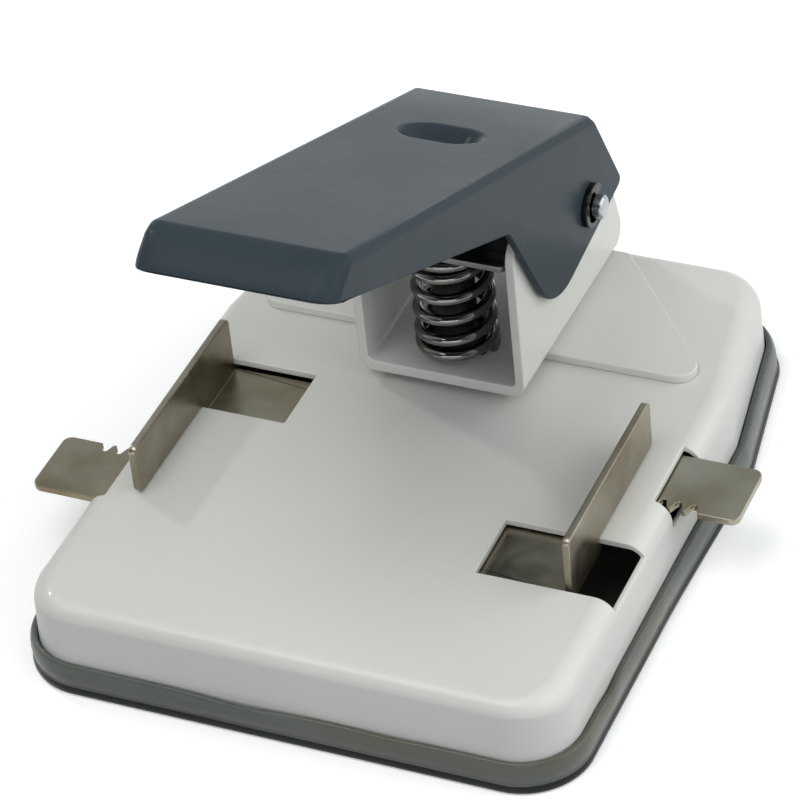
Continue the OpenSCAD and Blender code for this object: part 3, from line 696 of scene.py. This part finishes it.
def makeBracket(sizes):
    low, high = cadBox("bracket")
    wall, floor, over = sizes["wall"], low.z + sizes["floor"], sizes["over"]
    rim = high.z + over
    rings = []
    for i in range(sizes["bendSteps"] + 1):
        # the bend between floor and wall tightens towards the back
        share = i / sizes["bendSteps"]
        bend = between(sizes["frontBend"], sizes["rearBend"], share)
        inside = max(bend - wall, sizes["leastBend"])
        outer = [(low.x, low.z, bend), (high.x, low.z, bend), (high.x, rim, 0)]
        inner = [(high.x - wall, rim, 0), (high.x - wall, floor, inside), (low.x + wall, floor, inside),
                 (low.x + wall, rim, 0), (low.x, rim, 0)]
        y = low.y - over + (high.y - low.y + 2 * over) * share
        rings.append([alongAxis("y", p, y) for p in outline(outer + inner)])
    bracket = ringSolid("lever_bracket", rings)

    def sideCorners(foot, under=low.z):
        return [(low.y, under, 0), (foot, under, sizes["footRound"]),
                (hinge.y + sizes["lobeBack"], high.z, sizes["lobe"]), (low.y, high.z, sizes["frontRound"])]

    side = outline(sideCorners(sharpCorner(high.y, sideCorners), low.z - hair), steps=16)
    carve(bracket, [prism("side", side, low.x - over, high.x + over, "x")], "INTERSECT")
    tools = bracketHoles(low.z - past, floor + past)
    pinHole = circle((hinge.y, hinge.z), sizes["pinHole"] / 2)
    tools.append(prism("pinHole", pinHole, low.x - past, high.x + past, "x"))
    blade = slotOutline((0, punchY), sizes["slotLength"], sizes["slotWidth"])
    tools.append(prism("bladeSlot", blade, low.z - past, floor + past))
    carve(bracket, tools)
    soften(bracket, sizes["edge"])
    return dress(bracket, coverPaint, "base", "cover_paint", "bracket")


bracket = makeBracket(bracketSizes)
print("stop and bracket:", len(stop.data.polygons), len(bracket.data.polygons), "faces")


# lever: pressed channel, drawn level about its pin and then tilted

leverSizes = {
    "tilt": 22.2, "sheet": 1.5, "top": 18.8, "front": 125.5, "back": 2.3, "lipFront": 130.5, "lip": 7.6,
    "notch": (44.8, 14.6), "tip": (15.4, 19.2), "rear": (19.3, 1.2), "notchRound": 3.0, "tipRound": 15.0,
    "rearRound": 1.5, "longBend": 2.0, "noseBend": 3.4, "corner": 4.5, "bendSteps": 10, "pinHole": 5.1,
    "edge": 0.4, "lipTurn": 6.6, "lipSoft": 1.6, "noseRows": 0.65, "rowsBelow": 3.0, "over": 6.0,
    "dimpleAt": 33.5, "dimpleDepth": 3.7, "dimpleRound": 9.0, "dimpleHalf": 2.25, "dimpleGrid": 0.4,
    "gridPast": 3.0, "nearEdge": 6.7, "nearBlend": 0.8, "farEdge": 7.3, "farBlend": 5.0, "farFrom": -3.5,
    "farOver": 4.0,
}
flatWay = 0.999  # least share of a face's normal that counts as facing one way


def dimpleDrop(sizes, x, y):
    aside = max(abs(x) - sizes["dimpleHalf"], 0)
    along = y + sizes["dimpleAt"]
    distance = math.hypot(aside, along)
    radius = sizes["dimpleRound"]
    bowl = math.sqrt(max(radius * radius - distance * distance, 0)) - (radius - sizes["dimpleDepth"])
    far = smooth((along - sizes["farFrom"]) / sizes["farOver"])
    edge = between(sizes["nearEdge"], sizes["farEdge"], far)
    fade = between(sizes["nearBlend"], sizes["farBlend"], far)
    return max(bowl, 0) * smooth((edge - distance) / fade)


def noseShift(sizes, z):
    # the nose leans out under the top, and its lowest part turns upright
    turn = sizes["top"] - sizes["lipTurn"]
    slope = (sizes["lipFront"] - sizes["front"]) / sizes["lipTurn"]
    over = z - turn
    mix = max(sizes["lipSoft"] - abs(over), 0) / sizes["lipSoft"]
    lift = max(over, 0) + mix * mix * sizes["lipSoft"] / 4
    return slope * (lift - sizes["lipTurn"])


def leverShell(sizes):
    rear, low = sizes["rear"][0] + sizes["over"], -sizes["tip"][1] - sizes["over"]
    bm = bmesh.new()
    size = Vector((2 * leverHalf, sizes["front"] + rear, sizes["top"] - low))
    middle = Vector((0, (rear - sizes["front"]) / 2, (sizes["top"] + low) / 2))
    bmesh.ops.create_cube(bm, size=1, matrix=Matrix.Translation(middle) @ Matrix.Diagonal(size).to_4x4())
    weights = bm.edges.layers.float.new("bevel_weight_edge")
    for edge in bm.edges:
        a, b = (v.co for v in edge.verts)
        atTop = min(a.z, b.z) > sizes["top"] - near
        atFront = max(a.y, b.y) < -sizes["front"] + near
        if atTop and abs(a.y - b.y) > near:
            edge[weights] = sizes["longBend"] / sizes["corner"]
        elif atTop and atFront:
            edge[weights] = sizes["noseBend"] / sizes["corner"]
        elif atFront and abs(a.z - b.z) > near:
            edge[weights] = 1.0
    shell = makePiece("pressing_lever", bm)
    addBevel(shell, sizes["corner"], sizes["bendSteps"])
    bake(shell)
    leanNose(shell, sizes)
    return shell


def leanNose(shell, sizes):
    bm = bmesh.new()
    bm.from_mesh(shell.data)
    rows = int((sizes["lipTurn"] + sizes["rowsBelow"]) / sizes["noseRows"])
    for i in range(rows):
        z = (sizes["top"] - sizes["noseBend"] - i * sizes["noseRows"]) * mm
        everything = bm.verts[:] + bm.edges[:] + bm.faces[:]
        bmesh.ops.bisect_plane(bm, geom=everything, plane_co=(0, 0, z), plane_no=(0, 0, 1))
    reach = (-sizes["front"] + sizes["corner"] + past / 2) * mm
    for v in bm.verts:
        if v.co.y < reach:
            v.co.y += noseShift(sizes, v.co.z / mm) * mm
    bm.normal_update()
    bm.to_mesh(shell.data)
    bm.free()


def dimpleGrid(shell, sizes):
    # cuts the top into small squares round the dimple, and takes off the two open sides
    bm = bmesh.new()
    bm.from_mesh(shell.data)
    bmesh.ops.scale(bm, vec=(1 / mm,) * 3, verts=bm.verts)
    reach, grid = sizes["dimpleRound"] + sizes["gridPast"], sizes["dimpleGrid"]

    def topFaces(yLow=-1e9, yHigh=1e9):
        faces = []
        for f in bm.faces:
            middle = f.calc_center_median()
            if f.normal.z > flatWay and middle.z > sizes["top"] - near and yLow < middle.y < yHigh:
                faces.append(f)
        return faces

    def cut(faces, point, normal):
        edges = {e for f in faces for e in f.edges}
        verts = {v for f in faces for v in f.verts}
        everything = list(faces) + list(edges) + list(verts)
        bmesh.ops.bisect_plane(bm, geom=everything, plane_co=point, plane_no=normal)

    yLow, yHigh = -sizes["dimpleAt"] - reach, -sizes["dimpleAt"] + reach
    for y in (yLow, yHigh):
        cut(topFaces(), (0, y, 0), (0, 1, 0))
    xReach = sizes["dimpleHalf"] + reach
    for i in range(int(2 * xReach / grid) + 1):
        cut(topFaces(yLow, yHigh), (-xReach + i * grid, 0, 0), (1, 0, 0))
    for i in range(1, int(2 * reach / grid)):
        inside = [f for f in topFaces(yLow, yHigh) if abs(f.calc_center_median().x) < xReach]
        cut(inside, (0, yLow + i * grid, 0), (0, 1, 0))
    loose = [f for f in bm.faces if f.normal.z < -flatWay or f.normal.y > flatWay]
    bmesh.ops.delete(bm, geom=loose, context="FACES")
    bmesh.ops.scale(bm, vec=(mm,) * 3, verts=bm.verts)
    bm.to_mesh(shell.data)
    bm.free()


def pressDimple(shell, sizes):
    # both faces of the sheet go down alike
    lowest = sizes["top"] - sizes["sheet"] - near
    for v in shell.data.vertices:
        if v.co.z / mm > lowest:
            v.co.z -= dimpleDrop(sizes, v.co.x / mm, v.co.y / mm) * mm


def makeLever(sizes):
    lever = leverShell(sizes)
    dimpleGrid(lever, sizes)
    wall = lever.modifiers.new("sheet", "SOLIDIFY")
    wall.thickness = sizes["sheet"] * mm
    wall.offset = -1
    wall.use_even_offset = True
    bake(lever)
    pressDimple(lever, sizes)
    aside = leverHalf + 2 * past
    top = sizes["top"]
    notch = Vector((-sizes["notch"][0], top - sizes["notch"][1]))
    tip = Vector((-sizes["tip"][0], -sizes["tip"][1]))
    rear = Vector(sizes["rear"])
    lip = Vector((-sizes["lipFront"], top - sizes["lip"]))
    beyond = rear + (Vector((-sizes["back"], top)) - rear) * 1.5  # well above the top
    ahead = notch + (lip - notch) * 1.2  # well in front of the nose
    trim = outline([(ahead.x, ahead.y, 0), (notch.x, notch.y, sizes["notchRound"]),
                    (tip.x, tip.y, sizes["tipRound"]), (rear.x, rear.y, sizes["rearRound"]),
                    (beyond.x, beyond.y, 0), (ahead.x, beyond.y, 0)], steps=10)
    carve(lever, [prism("trim", trim, -aside, aside, "x")], "INTERSECT")
    carve(lever, [prism("pinHole", circle((0, 0), sizes["pinHole"] / 2), -aside, aside, "x")])

    def pressed(middle):
        # only the trimmed edge is rounded, not the bends of the nose
        return middle.y < -sizes["front"] + 2 * sizes["corner"] and middle.z > lip.y + past

    soften(lever, sizes["edge"], segments=3, angle=50, sharp=pressed)
    tilt = Matrix.Translation(hinge * mm) @ Matrix.Rotation(math.radians(-sizes["tilt"]), 4, "X")
    lever.data.transform(tilt)
    return dress(lever, leverPaint, "lever", "lever_paint", "lever")


lever = makeLever(leverSizes)
print("lever:", len(lever.data.polygons), "faces")


# pivot pin and its two clips

pinSizes = {
    "radius": 2.5, "groove": 0.5, "grooveWidth": 1.25, "grooveSlope": 0.05, "chamfer": 0.40, "dome": 0.06,
    "domeShare": (0.3, 0.5), "tip": 0.05, "edge": 0.08,
}
clipSizes = {
    "outside": 4.7, "inside": 3.36, "grip": 2.03, "lugs": (60, 180, 300), "lugHalf": 25, "lugBlend": 8,
    "mouth": 1.6, "jaw": 12, "outerSteps": 60, "innerSteps": 120, "edge": 0.18, "thick": 1.15,
    "standOff": 0.15,
}


def makePin(sizes):
    end = cadBox("pivot_pin")[1].x
    middle = leverHalf + clipSizes["standOff"] + clipSizes["thick"] / 2
    r, deep = sizes["radius"], sizes["radius"] - sizes["groove"]
    half, slope, dome = sizes["grooveWidth"] / 2, sizes["grooveSlope"], sizes["dome"]
    domeUp, domeIn = sizes["domeShare"]
    right = [(middle - half - slope, r), (middle - half, deep),
             (middle + half, deep), (middle + half + slope, r),
             (end - dome - sizes["chamfer"], r), (end - dome, r - sizes["chamfer"]),
             (end - dome * domeUp, r * domeIn), (end, sizes["tip"])]
    left = [(-x, radius) for x, radius in reversed(right)]
    pin = turned("lever_pin", left + right, (hinge.y, hinge.z))
    soften(pin, sizes["edge"], segments=2, angle=35)
    return dress(pin, pinSteel, "base", "steel", "pivot_pin")


def clipOutline(sizes):
    mouth = math.degrees(math.asin(sizes["mouth"] / sizes["outside"]))
    outerSteps, innerSteps, jaw = sizes["outerSteps"], sizes["innerSteps"], sizes["jaw"]
    outer = [(sizes["outside"], mouth + (360 - 2 * mouth) * i / outerSteps) for i in range(outerSteps + 1)]
    inner = []
    for i in range(innerSteps + 1):
        at = 360 - mouth - jaw - (360 - 2 * jaw - 2 * mouth) * i / innerSteps
        off = min(abs((at - lug + 180) % 360 - 180) for lug in sizes["lugs"])
        share = smooth((off - sizes["lugHalf"]) / sizes["lugBlend"] + 0.5)
        inner.append((between(sizes["grip"], sizes["inside"], share), at))
    points = []
    for radius, at in outer + inner:
        turn = math.radians(at)
        points.append(Vector((hinge.y + radius * math.cos(turn), hinge.z + radius * math.sin(turn))))
    return points


def makeClips(sizes):
    thick = sizes["thick"]
    inside = leverHalf + sizes["standOff"]
    shape = clipOutline(sizes)
    bm = bmesh.new()
    for start in (-inside - thick, inside):
        addPrism(bm, shape, start, start + thick, "x")
    clips = makePiece("pin_clips", bm, merge=0)
    soften(clips, sizes["edge"], segments=2, angle=50)
    return dress(clips, blackOxide, "base", "black_oxide", "pivot_clips")


pin = makePin(pinSizes)
clips = makeClips(clipSizes)
print("pin and clips:", len(pin.data.polygons), len(clips.data.polygons), "faces")


# spring: one wire wound by a node tree, close at both ends

springSizes = {
    "wire": 2.4, "closedPitch": 2.55, "closedTurns": 1.3, "openTurns": 3.65, "startTurn": 0.25,
    "stepsPerTurn": 40, "wireSides": 16, "seatGap": 0.1,
}


def newTree(name, *groups):
    tree = bpy.data.node_groups.new(name, "GeometryNodeTree")
    for kind, labels in (("Geometry", ["Geometry"]), *groups):
        for label in labels:
            tree.interface.new_socket(label, in_out="INPUT", socket_type=f"NodeSocket{kind}")
    tree.interface.new_socket("Geometry", in_out="OUTPUT", socket_type="NodeSocketGeometry")
    return tree, tree.nodes.new("NodeGroupInput").outputs


def finishTree(tree, geometry, material):
    real = addNode(tree, "GeometryNodeRealizeInstances", {"Geometry": geometry})
    dressed = addNode(tree, "GeometryNodeSetMaterial", {"Geometry": real, "Material": material})
    feedAll(tree, tree.nodes.new("NodeGroupOutput"), {"Geometry": dressed})
    return tree


def runTree(name, tree, values):
    piece = bpy.data.objects.new(name, bpy.data.meshes.new(name))
    scene.collection.objects.link(piece)
    step = piece.modifiers.new("nodes", "NODES")
    step.node_group = tree
    sockets = {item.name: item.identifier for item in tree.interface.items_tree if item.in_out == "INPUT"}
    for label, value in values.items():
        step[sockets[label]] = value
    return bake(piece)


def springTree(material, steps, sides):
    tree, given = newTree("windSpring", ("Float", [
        "Coil radius", "Wire", "Low", "Closed pitch", "Closed turns", "Open pitch", "Open turns",
        "Start turn", "Centre Y",
    ]))
    closed, opened, radius = given["Closed turns"], given["Open turns"], given["Coil radius"]

    def calc(how, first, second=None):
        return nodeMath(tree, how, first, second)

    # one point for each step, from the turn that it stands at
    turns = calc("ADD", opened, calc("MULTIPLY", closed, 2))
    count = calc("ROUND", calc("ADD", calc("MULTIPLY", turns, steps), 1))
    line = addNode(tree, "GeometryNodeMeshLine", {"Count": count})
    curve = addNode(tree, "GeometryNodeMeshToCurve", {"Mesh": line})
    turn = calc("DIVIDE", tree.nodes.new("GeometryNodeInputIndex").outputs[0], steps)
    angle = calc("MULTIPLY", calc("ADD", turn, given["Start turn"]), 2 * math.pi)
    # the wire climbs slowly in the closed ends and faster between them
    beyond = calc("SUBTRACT", turn, closed)
    middle = calc("MINIMUM", calc("MAXIMUM", beyond, 0), opened)
    last = calc("MAXIMUM", calc("SUBTRACT", beyond, opened), 0)
    close = calc("ADD", calc("MINIMUM", turn, closed), last)
    slow = calc("MULTIPLY", close, given["Closed pitch"])
    rise = calc("ADD", slow, calc("MULTIPLY", middle, given["Open pitch"]))
    front = calc("MULTIPLY", calc("COSINE", angle), radius)
    place = addNode(tree, "ShaderNodeCombineXYZ", {
        "X": calc("MULTIPLY", calc("SINE", angle), radius), "Y": calc("SUBTRACT", given["Centre Y"], front),
        "Z": calc("ADD", rise, given["Low"]),
    })
    move = addNode(tree, "GeometryNodeSetPosition", {"Geometry": curve, "Position": place})
    section = {"Resolution": sides, "Radius": calc("DIVIDE", given["Wire"], 2)}
    ring = addNode(tree, "GeometryNodeCurvePrimitiveCircle", section)
    sweep = {"Curve": move, "Profile Curve": ring, "Fill Caps": True}
    return finishTree(tree, addNode(tree, "GeometryNodeCurveToMesh", sweep), material)


def makeSpring(sizes):
    low, high = cadBox("return_spring")
    wire = sizes["wire"]
    rise = high.z - low.z - wire - 2 * sizes["closedTurns"] * sizes["closedPitch"]
    spring = runTree("lift_spring", springTree(springSteel, sizes["stepsPerTurn"], sizes["wireSides"]), {
        "Coil radius": (high.x - low.x - wire) / 2 * mm, "Wire": wire * mm, "Low": (low.z + wire / 2) * mm,
        "Closed pitch": sizes["closedPitch"] * mm, "Closed turns": sizes["closedTurns"],
        "Open pitch": rise / sizes["openTurns"] * mm, "Open turns": sizes["openTurns"],
        "Start turn": sizes["startTurn"], "Centre Y": punchY * mm,
    })
    smoothFaces(spring)
    dress(spring, springSteel, "base", "dark_steel", "return_spring")
    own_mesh(spring)
    return spring


spring = makeSpring(springSizes)
print("spring:", len(spring.data.polygons), "faces")


# spring plate and the punch's cap

plateSizes = {"round": 1.5, "bore": 9.2, "edge": 0.3}
capSizes = {"chamfer": 1.0, "foot": 0.5, "shoulder": (0.3, 0.5), "flat": 1.6, "edge": 0.25}


def makeSpringPlate(sizes):
    low, high = cadBox("spring_plate")
    plate = prism("spring_bar", outline(rectangle(low[:2], high[:2], sizes["round"])), low.z, high.z)
    bore(plate, (0, punchY), sizes["bore"] / 2, low.z, high.z)
    soften(plate, sizes["edge"])
    return dress(plate, barSteel, "plunger", "steel", "spring_plate")


def makeCap(sizes):
    low, high = cadBox("punch_cap")
    r = (high.x - low.x) / 2
    cut, foot = sizes["chamfer"], sizes["chamfer"] * sizes["foot"]
    down, inward = (cut * share for share in sizes["shoulder"])
    profile = [(low.z, r - foot), (low.z + foot, r), (high.z - cut, r), (high.z - down, r - inward),
               (high.z, r - sizes["flat"] * cut)]
    cap = turned("press_cap", profile, (0, punchY), "z")
    soften(cap, sizes["edge"], segments=2, angle=25)
    return dress(cap, toolSteel, "plunger", "dark_steel", "punch_cap")


springBar = makeSpringPlate(plateSizes)
cap = makeCap(capSizes)
print("spring plate and cap:", len(springBar.data.polygons), len(cap.data.polygons), "faces")


# guides: card wall, leg, rack strip and finger tab

def rackStrip(sizes):
    front, back = guideLow.y, guideLow.y + sizes["stripWidth"]
    tabFront, tabBack = Vector((guideLow.x, front)), Vector((guideLow.x, back))
    wallFront, wallBack = Vector((guideHigh.x, front)), Vector((guideHigh.x, back))
    points = roundCorner(tabBack, tabFront, wallFront, sizes["tabRound"], steps=8)
    points += [wallFront, wallBack]
    slope = math.tan(math.radians(sizes["pressure"]))
    mid = (sizes["pitch"] + sizes["play"]) / 4
    mouth = mid + sizes["pitchOffset"] * slope
    root = mid - sizes["toothRoot"] * slope
    deep = back - sizes["pitchOffset"] - sizes["toothRoot"]
    for i in range(sizes["gapsToWall"], -sizes["gapsToTab"] - 1, -1):
        at = i * sizes["pitch"]
        points += [Vector((at + mouth, back)), Vector((at + root, deep)),
                   Vector((at - root, deep)), Vector((at - mouth, back))]
    return points + roundCorner(wallBack, tabBack, tabFront, sizes["tabRound"], steps=8)


def makeGuide(name, node, turn, sizes):
    sheet, wallRound = sizes["sheet"], sizes["wallRound"]
    guide = prism(name, turn(rackStrip(sizes)), guideLow.z, guideLow.z + sheet)
    front = guideLow.y + sizes["endGap"]
    legBack = guideLow.y + sizes["stripWidth"] - 2 * sizes["endGap"]
    wallLow = guideLow.z + sizes["wallLift"]
    side = outline([(front, guideLow.z, 0), (legBack, guideLow.z, 0), (legBack, wallLow, sizes["legRound"]),
                    (guideHigh.y, wallLow, wallRound), (guideHigh.y, guideHigh.z, wallRound),
                    (front, guideHigh.z, wallRound)], steps=6)
    x = (guideHigh.x - sheet, guideHigh.x)
    if turn is halfTurn:
        side = [Vector((2 * pinionY - p.x, p.y)) for p in side]
        x = (-guideHigh.x, -guideHigh.x + sheet)
    carve(guide, [prism("wall", side, *x, "x")], "UNION")
    soften(guide, sizes["edge"], segments=2, angle=50)
    return dress(guide, nickel, node, "nickel", node)


rightGuide = makeGuide("guide_right", "right_guide", list, guideSizes)
leftGuide = makeGuide("guide_left", "left_guide", halfTurn, guideSizes)
print("guides:", len(rightGuide.data.polygons), len(leftGuide.data.polygons), "faces")


# fasteners: each pattern is made once and set out by a node tree

dieScrewSizes = {
    "head": 5.25, "shank": 3.0, "headHeight": 1.5, "recess": 3.0, "recessWidth": 0.7, "recessDepth": 0.8,
}
screwForm = {
    "crown": [(0, 0.62), (0.25, 0.84), (0.9, 1.0)],  # up, share of the head's radius
    "point": 0.5, "edge": 0.08,
}
nutSizes = {"corner": 3.15, "bore": 1.55, "chamfer": 0.35, "chamferRise": 0.6, "edge": 0.06}
washerSizes = {"outside": 4.2, "bore": 2.1, "edge": 0.15}
fastenerSeed = 7


def fastenerTree(material):
    tree, given = newTree("setOutFasteners", ("Object", ["Pattern"]), ("Int", ["Columns", "Rows", "Seed"]),
                          ("Float", ["Width", "Depth", "Centre Y"]))
    grid = addNode(tree, "GeometryNodeMeshGrid", {
        "Size X": given["Width"], "Size Y": given["Depth"],
        "Vertices X": given["Columns"], "Vertices Y": given["Rows"],
    })
    place = addNode(tree, "ShaderNodeCombineXYZ", {"Y": given["Centre Y"]})
    move = addNode(tree, "GeometryNodeTransform", {"Geometry": grid, "Translation": place})
    pattern = feedAll(tree, tree.nodes.new("GeometryNodeObjectInfo"), {"Object": given["Pattern"]})
    turn = tree.nodes.new("FunctionNodeRandomValue")
    turn.data_type = "FLOAT_VECTOR"
    feedAll(tree, turn, {"Min": (0, 0, 0), "Max": (0, 0, 2 * math.pi), "Seed": given["Seed"]})
    copies = addNode(tree, "GeometryNodeInstanceOnPoints", {
        "Points": move, "Instance": pattern.outputs["Geometry"], "Rotation": turn.outputs["Value"],
    })
    return finishTree(tree, copies, material)


def screwPattern(low, high, sizes):
    head, shank, point = sizes["head"] / 2, sizes["shank"] / 2, screwForm["point"]
    under = low + sizes["headHeight"]
    profile = [(low + up, head * share) for up, share in screwForm["crown"]]
    profile += [(under, head), (under, shank), (high - point, shank), (high, shank - point)]
    screw = turned("screw", profile, (0, 0), "z", steps=32)
    half, wide = sizes["recess"] / 2, sizes["recessWidth"] / 2
    cross = []
    for x, y in ((half, wide), (wide, half)):
        arm = outline(rectangle((-x, -y), (x, y)))
        cross.append(prism("recess", arm, low - past, low + sizes["recessDepth"]))
    carve(screw, cross)
    return soften(screw, screwForm["edge"], segments=2, angle=50)


def nutPattern(low, high, sizes):
    corner, cut = sizes["corner"], sizes["chamfer"]
    rise = cut * sizes["chamferRise"]
    nut = prism("nut", circle((0, 0), corner, steps=6), low, high)
    cone = turned("cone", [(low - near, corner - cut), (low + rise, corner + near),
                           (high - rise, corner + near), (high + near, corner - cut)], (0, 0), "z")
    carve(nut, [cone], "INTERSECT")
    bore(nut, (0, 0), sizes["bore"], low, high, steps=32)
    return soften(nut, sizes["edge"], segments=2)


def washerPattern(low, high, sizes):
    washer = prism("washer", circle((0, 0), sizes["outside"]), low, high)
    bore(washer, (0, 0), sizes["bore"], low, high, steps=32)
    return soften(washer, sizes["edge"], segments=2)


def makeFasteners():
    screw, dieScrew = screwSizes["head"] / 2, dieScrewSizes["head"] / 2
    corner, washer = nutSizes["corner"], washerSizes["outside"]
    flat = corner * math.cos(math.radians(30))
    sets = [  # how far one fastener goes from its middle, in x and in y, comes before its rows
        ("bracket_screw_set", "bracket_screws", screwPattern, screwSizes, screw, screw, 2),
        ("die_screw_set", "die_screws", screwPattern, dieScrewSizes, dieScrew, dieScrew, 1),
        ("keeper_nut_set", "keeper_nuts", nutPattern, nutSizes, corner, flat, 2),
        ("washer_set", "bracket_washers", washerPattern, washerSizes, washer, washer, 2),
    ]
    tree = fastenerTree(zincSteel)
    made = []
    for name, node, makePattern, sizes, reachX, reachY, rows in sets:
        low, high = cadBox(node)
        pattern = makePattern(low.z, high.z, sizes)
        piece = runTree(name, tree, {
            "Pattern": pattern, "Columns": 2, "Rows": rows, "Seed": fastenerSeed,
            "Width": (high.x - low.x - 2 * reachX) * mm,
            "Depth": (high.y - low.y - 2 * reachY) * mm if rows > 1 else 0.0,
            "Centre Y": (low.y + high.y) / 2 * mm,
        })
        discard(pattern)
        made.append(dress(piece, zincSteel, "base", "steel", node))
    return made


fasteners = makeFasteners()
print("fasteners:", [len(piece.data.polygons) for piece in fasteners], "faces")


# CAD nodes that stay take a finish

hardened = ["punch", "die_insert"]
plated = [
    "cap_pin", "die_clamp", "reinforcement_plate", "guide_keeper", "keeper_studs", "pinion_stud", "pinion",
]
for node in hardened + plated:
    mesh = frame["nodes"][node].data
    mesh.materials.clear()
    mesh.materials.append(toolSteel if node in hardened else zincSteel)
print("finished CAD nodes:", len(hardened + plated))


# floor, light and camera

studio = {
    "floor": 0.95, "floorBounce": 0.25, "floorGlow": (0.22, 0.85), "glowReach": (0.25, 1.2),
    "floorRough": 0.8, "floorSpecular": 0.1, "floorHalf": 6.0, "floorDrop": 0.0001,
    "sky": (0.35, 0.15), "sideSky": 0.95, "skyTint": (0.90, 0.985, 1.02),
    "backdrop": 1.0, "ceiling": 0.60, "ceilingFrom": 0.5, "frontRoom": 0.12, "roomEdge": (-0.75, -0.15),
    "lamps": [  # name, place, size, power, colour
        ("keyLamp", (1.05, 0.40, 0.62), (1.50, 1.00), 8.0, (1.0, 0.970, 0.940)),
        ("topLamp", (-0.10, -0.30, 0.80), (0.50, 0.50), 3.2, (1.0, 0.970, 0.945)),
        ("frontLamp", (0.05, -1.10, 0.32), (1.00, 0.10), 1.8, (0.97, 1.0, 1.02)),
        ("edgeLamp", (-0.92, 0.38, 0.80), (0.07, 0.07), 2.2, (1.0, 1.0, 1.0)),
    ],
}
cameraSizes = {
    "place": (0.28949, -0.58202, 0.54283), "look": (-0.35241, 0.70081, -0.62022), "roll": -6.30,
    "lens": 188.18, "sensor": 36.0, "clip": (0.01, 50),
}


def reflectedRay(tree, rays):
    return nodeMath(tree, "MAXIMUM", rays["Is Glossy Ray"], rays["Is Transmission Ray"])


def makeFloor(settings):
    half = settings["floorHalf"]
    mesh = bpy.data.meshes.new("floor")
    low = -settings["floorDrop"]  # just clear of the tray's underside
    corners = [(-half, -half, low), (half, -half, low), (half, half, low), (-half, half, low)]
    mesh.from_pydata(corners, [], [(0, 1, 2, 3)])
    floor = bpy.data.objects.new("floor", mesh)
    scene.collection.objects.link(floor)
    material, tree, shader = newMaterial("paleFloor")
    # the camera and reflections see a white floor, the light that comes off it is weaker
    rays = tree.nodes.new("ShaderNodeLightPath").outputs
    seen = nodeMath(tree, "MAXIMUM", reflectedRay(tree, rays), rays["Is Camera Ray"])
    shades = [(settings[key],) * 3 for key in ("floorBounce", "floor")]
    # far from the object, where the lamps are weak, the floor stays as white
    far = tree.nodes.new("ShaderNodeVectorMath")
    far.operation = "LENGTH"
    feed(tree, far.inputs[0], objectPoint(tree))
    glow = mapRange(tree, far.outputs["Value"], *settings["glowReach"], *settings["floorGlow"])
    feedAll(tree, shader, {
        "Base Color": blendColour(tree, seen, *shades), "Emission Color": (1, 1, 1, 1),
        "Emission Strength": nodeMath(tree, "MULTIPLY", glow, seen),
        "Roughness": settings["floorRough"], "Specular IOR Level": settings["floorSpecular"],
    })
    mesh.materials.append(material)


def makeWorld(settings):
    world = bpy.data.worlds.new("studio")
    scene.world = world
    world.use_nodes = True
    tree = world.node_tree
    rays = tree.nodes.new("ShaderNodeLightPath").outputs
    view = tree.nodes.new("ShaderNodeTexCoord").outputs["Generated"]
    way = feedAll(tree, tree.nodes.new("ShaderNodeSeparateXYZ"), {"Vector": view}).outputs
    # reflections see the white backdrop, a dimmer ceiling above it and the dim room behind the camera
    height = mapRange(tree, way["Z"], 0, settings["ceilingFrom"], settings["backdrop"], settings["ceiling"])
    room = mapRange(tree, way["Y"], *settings["roomEdge"], settings["frontRoom"], 1)
    mirrored = nodeMath(tree, "MULTIPLY", height, room)
    # more soft light from the front than from behind, and most from the right
    soft = nodeMath(tree, "ADD", mapRange(tree, way["Y"], -1, 1, *settings["sky"]),
                    mapRange(tree, way["X"], 0, 1, 0, settings["sideSky"]))
    unseen = mapRange(tree, reflectedRay(tree, rays), 0, 1, soft, mirrored)
    feedAll(tree, tree.nodes["Background"], {
        "Color": blendColour(tree, rays["Is Camera Ray"], settings["skyTint"], (1.0, 1.0, 1.0)),
        "Strength": mapRange(tree, rays["Is Camera Ray"], 0, 1, unseen, settings["backdrop"]),
    })


def makeLamps(settings):
    aim = (cadLow + cadHigh) / 2
    for name, place, size, power, colour in settings["lamps"]:
        light = bpy.data.lights.new(name, "AREA")
        light.shape = "RECTANGLE"
        light.size, light.size_y = size
        light.energy = power
        light.color = colour
        lamp = bpy.data.objects.new(name, light)
        lamp.location = place
        lamp.rotation_euler = (aim - Vector(place)).to_track_quat("-Z", "Y").to_euler()
        scene.collection.objects.link(lamp)


def makeCamera(settings):
    look = Vector(settings["look"]).normalized()
    level = look.cross(Vector((0, 0, 1))).normalized()
    roll = math.radians(settings["roll"])
    right = level * math.cos(roll) + level.cross(look) * math.sin(roll)
    up = right.cross(look)
    turn = Matrix((right, up, -look)).transposed().to_4x4()
    lens = bpy.data.cameras.new("camera")
    lens.lens = settings["lens"]
    lens.sensor_width = settings["sensor"]
    lens.clip_start, lens.clip_end = settings["clip"]
    camera = bpy.data.objects.new("camera", lens)
    camera.matrix_world = Matrix.Translation(settings["place"]) @ turn
    scene.collection.objects.link(camera)
    scene.camera = camera


makeFloor(studio)
makeWorld(studio)
makeLamps(studio)
makeCamera(cameraSizes)
scene.view_settings.view_transform = "Standard"
print("studio ready")
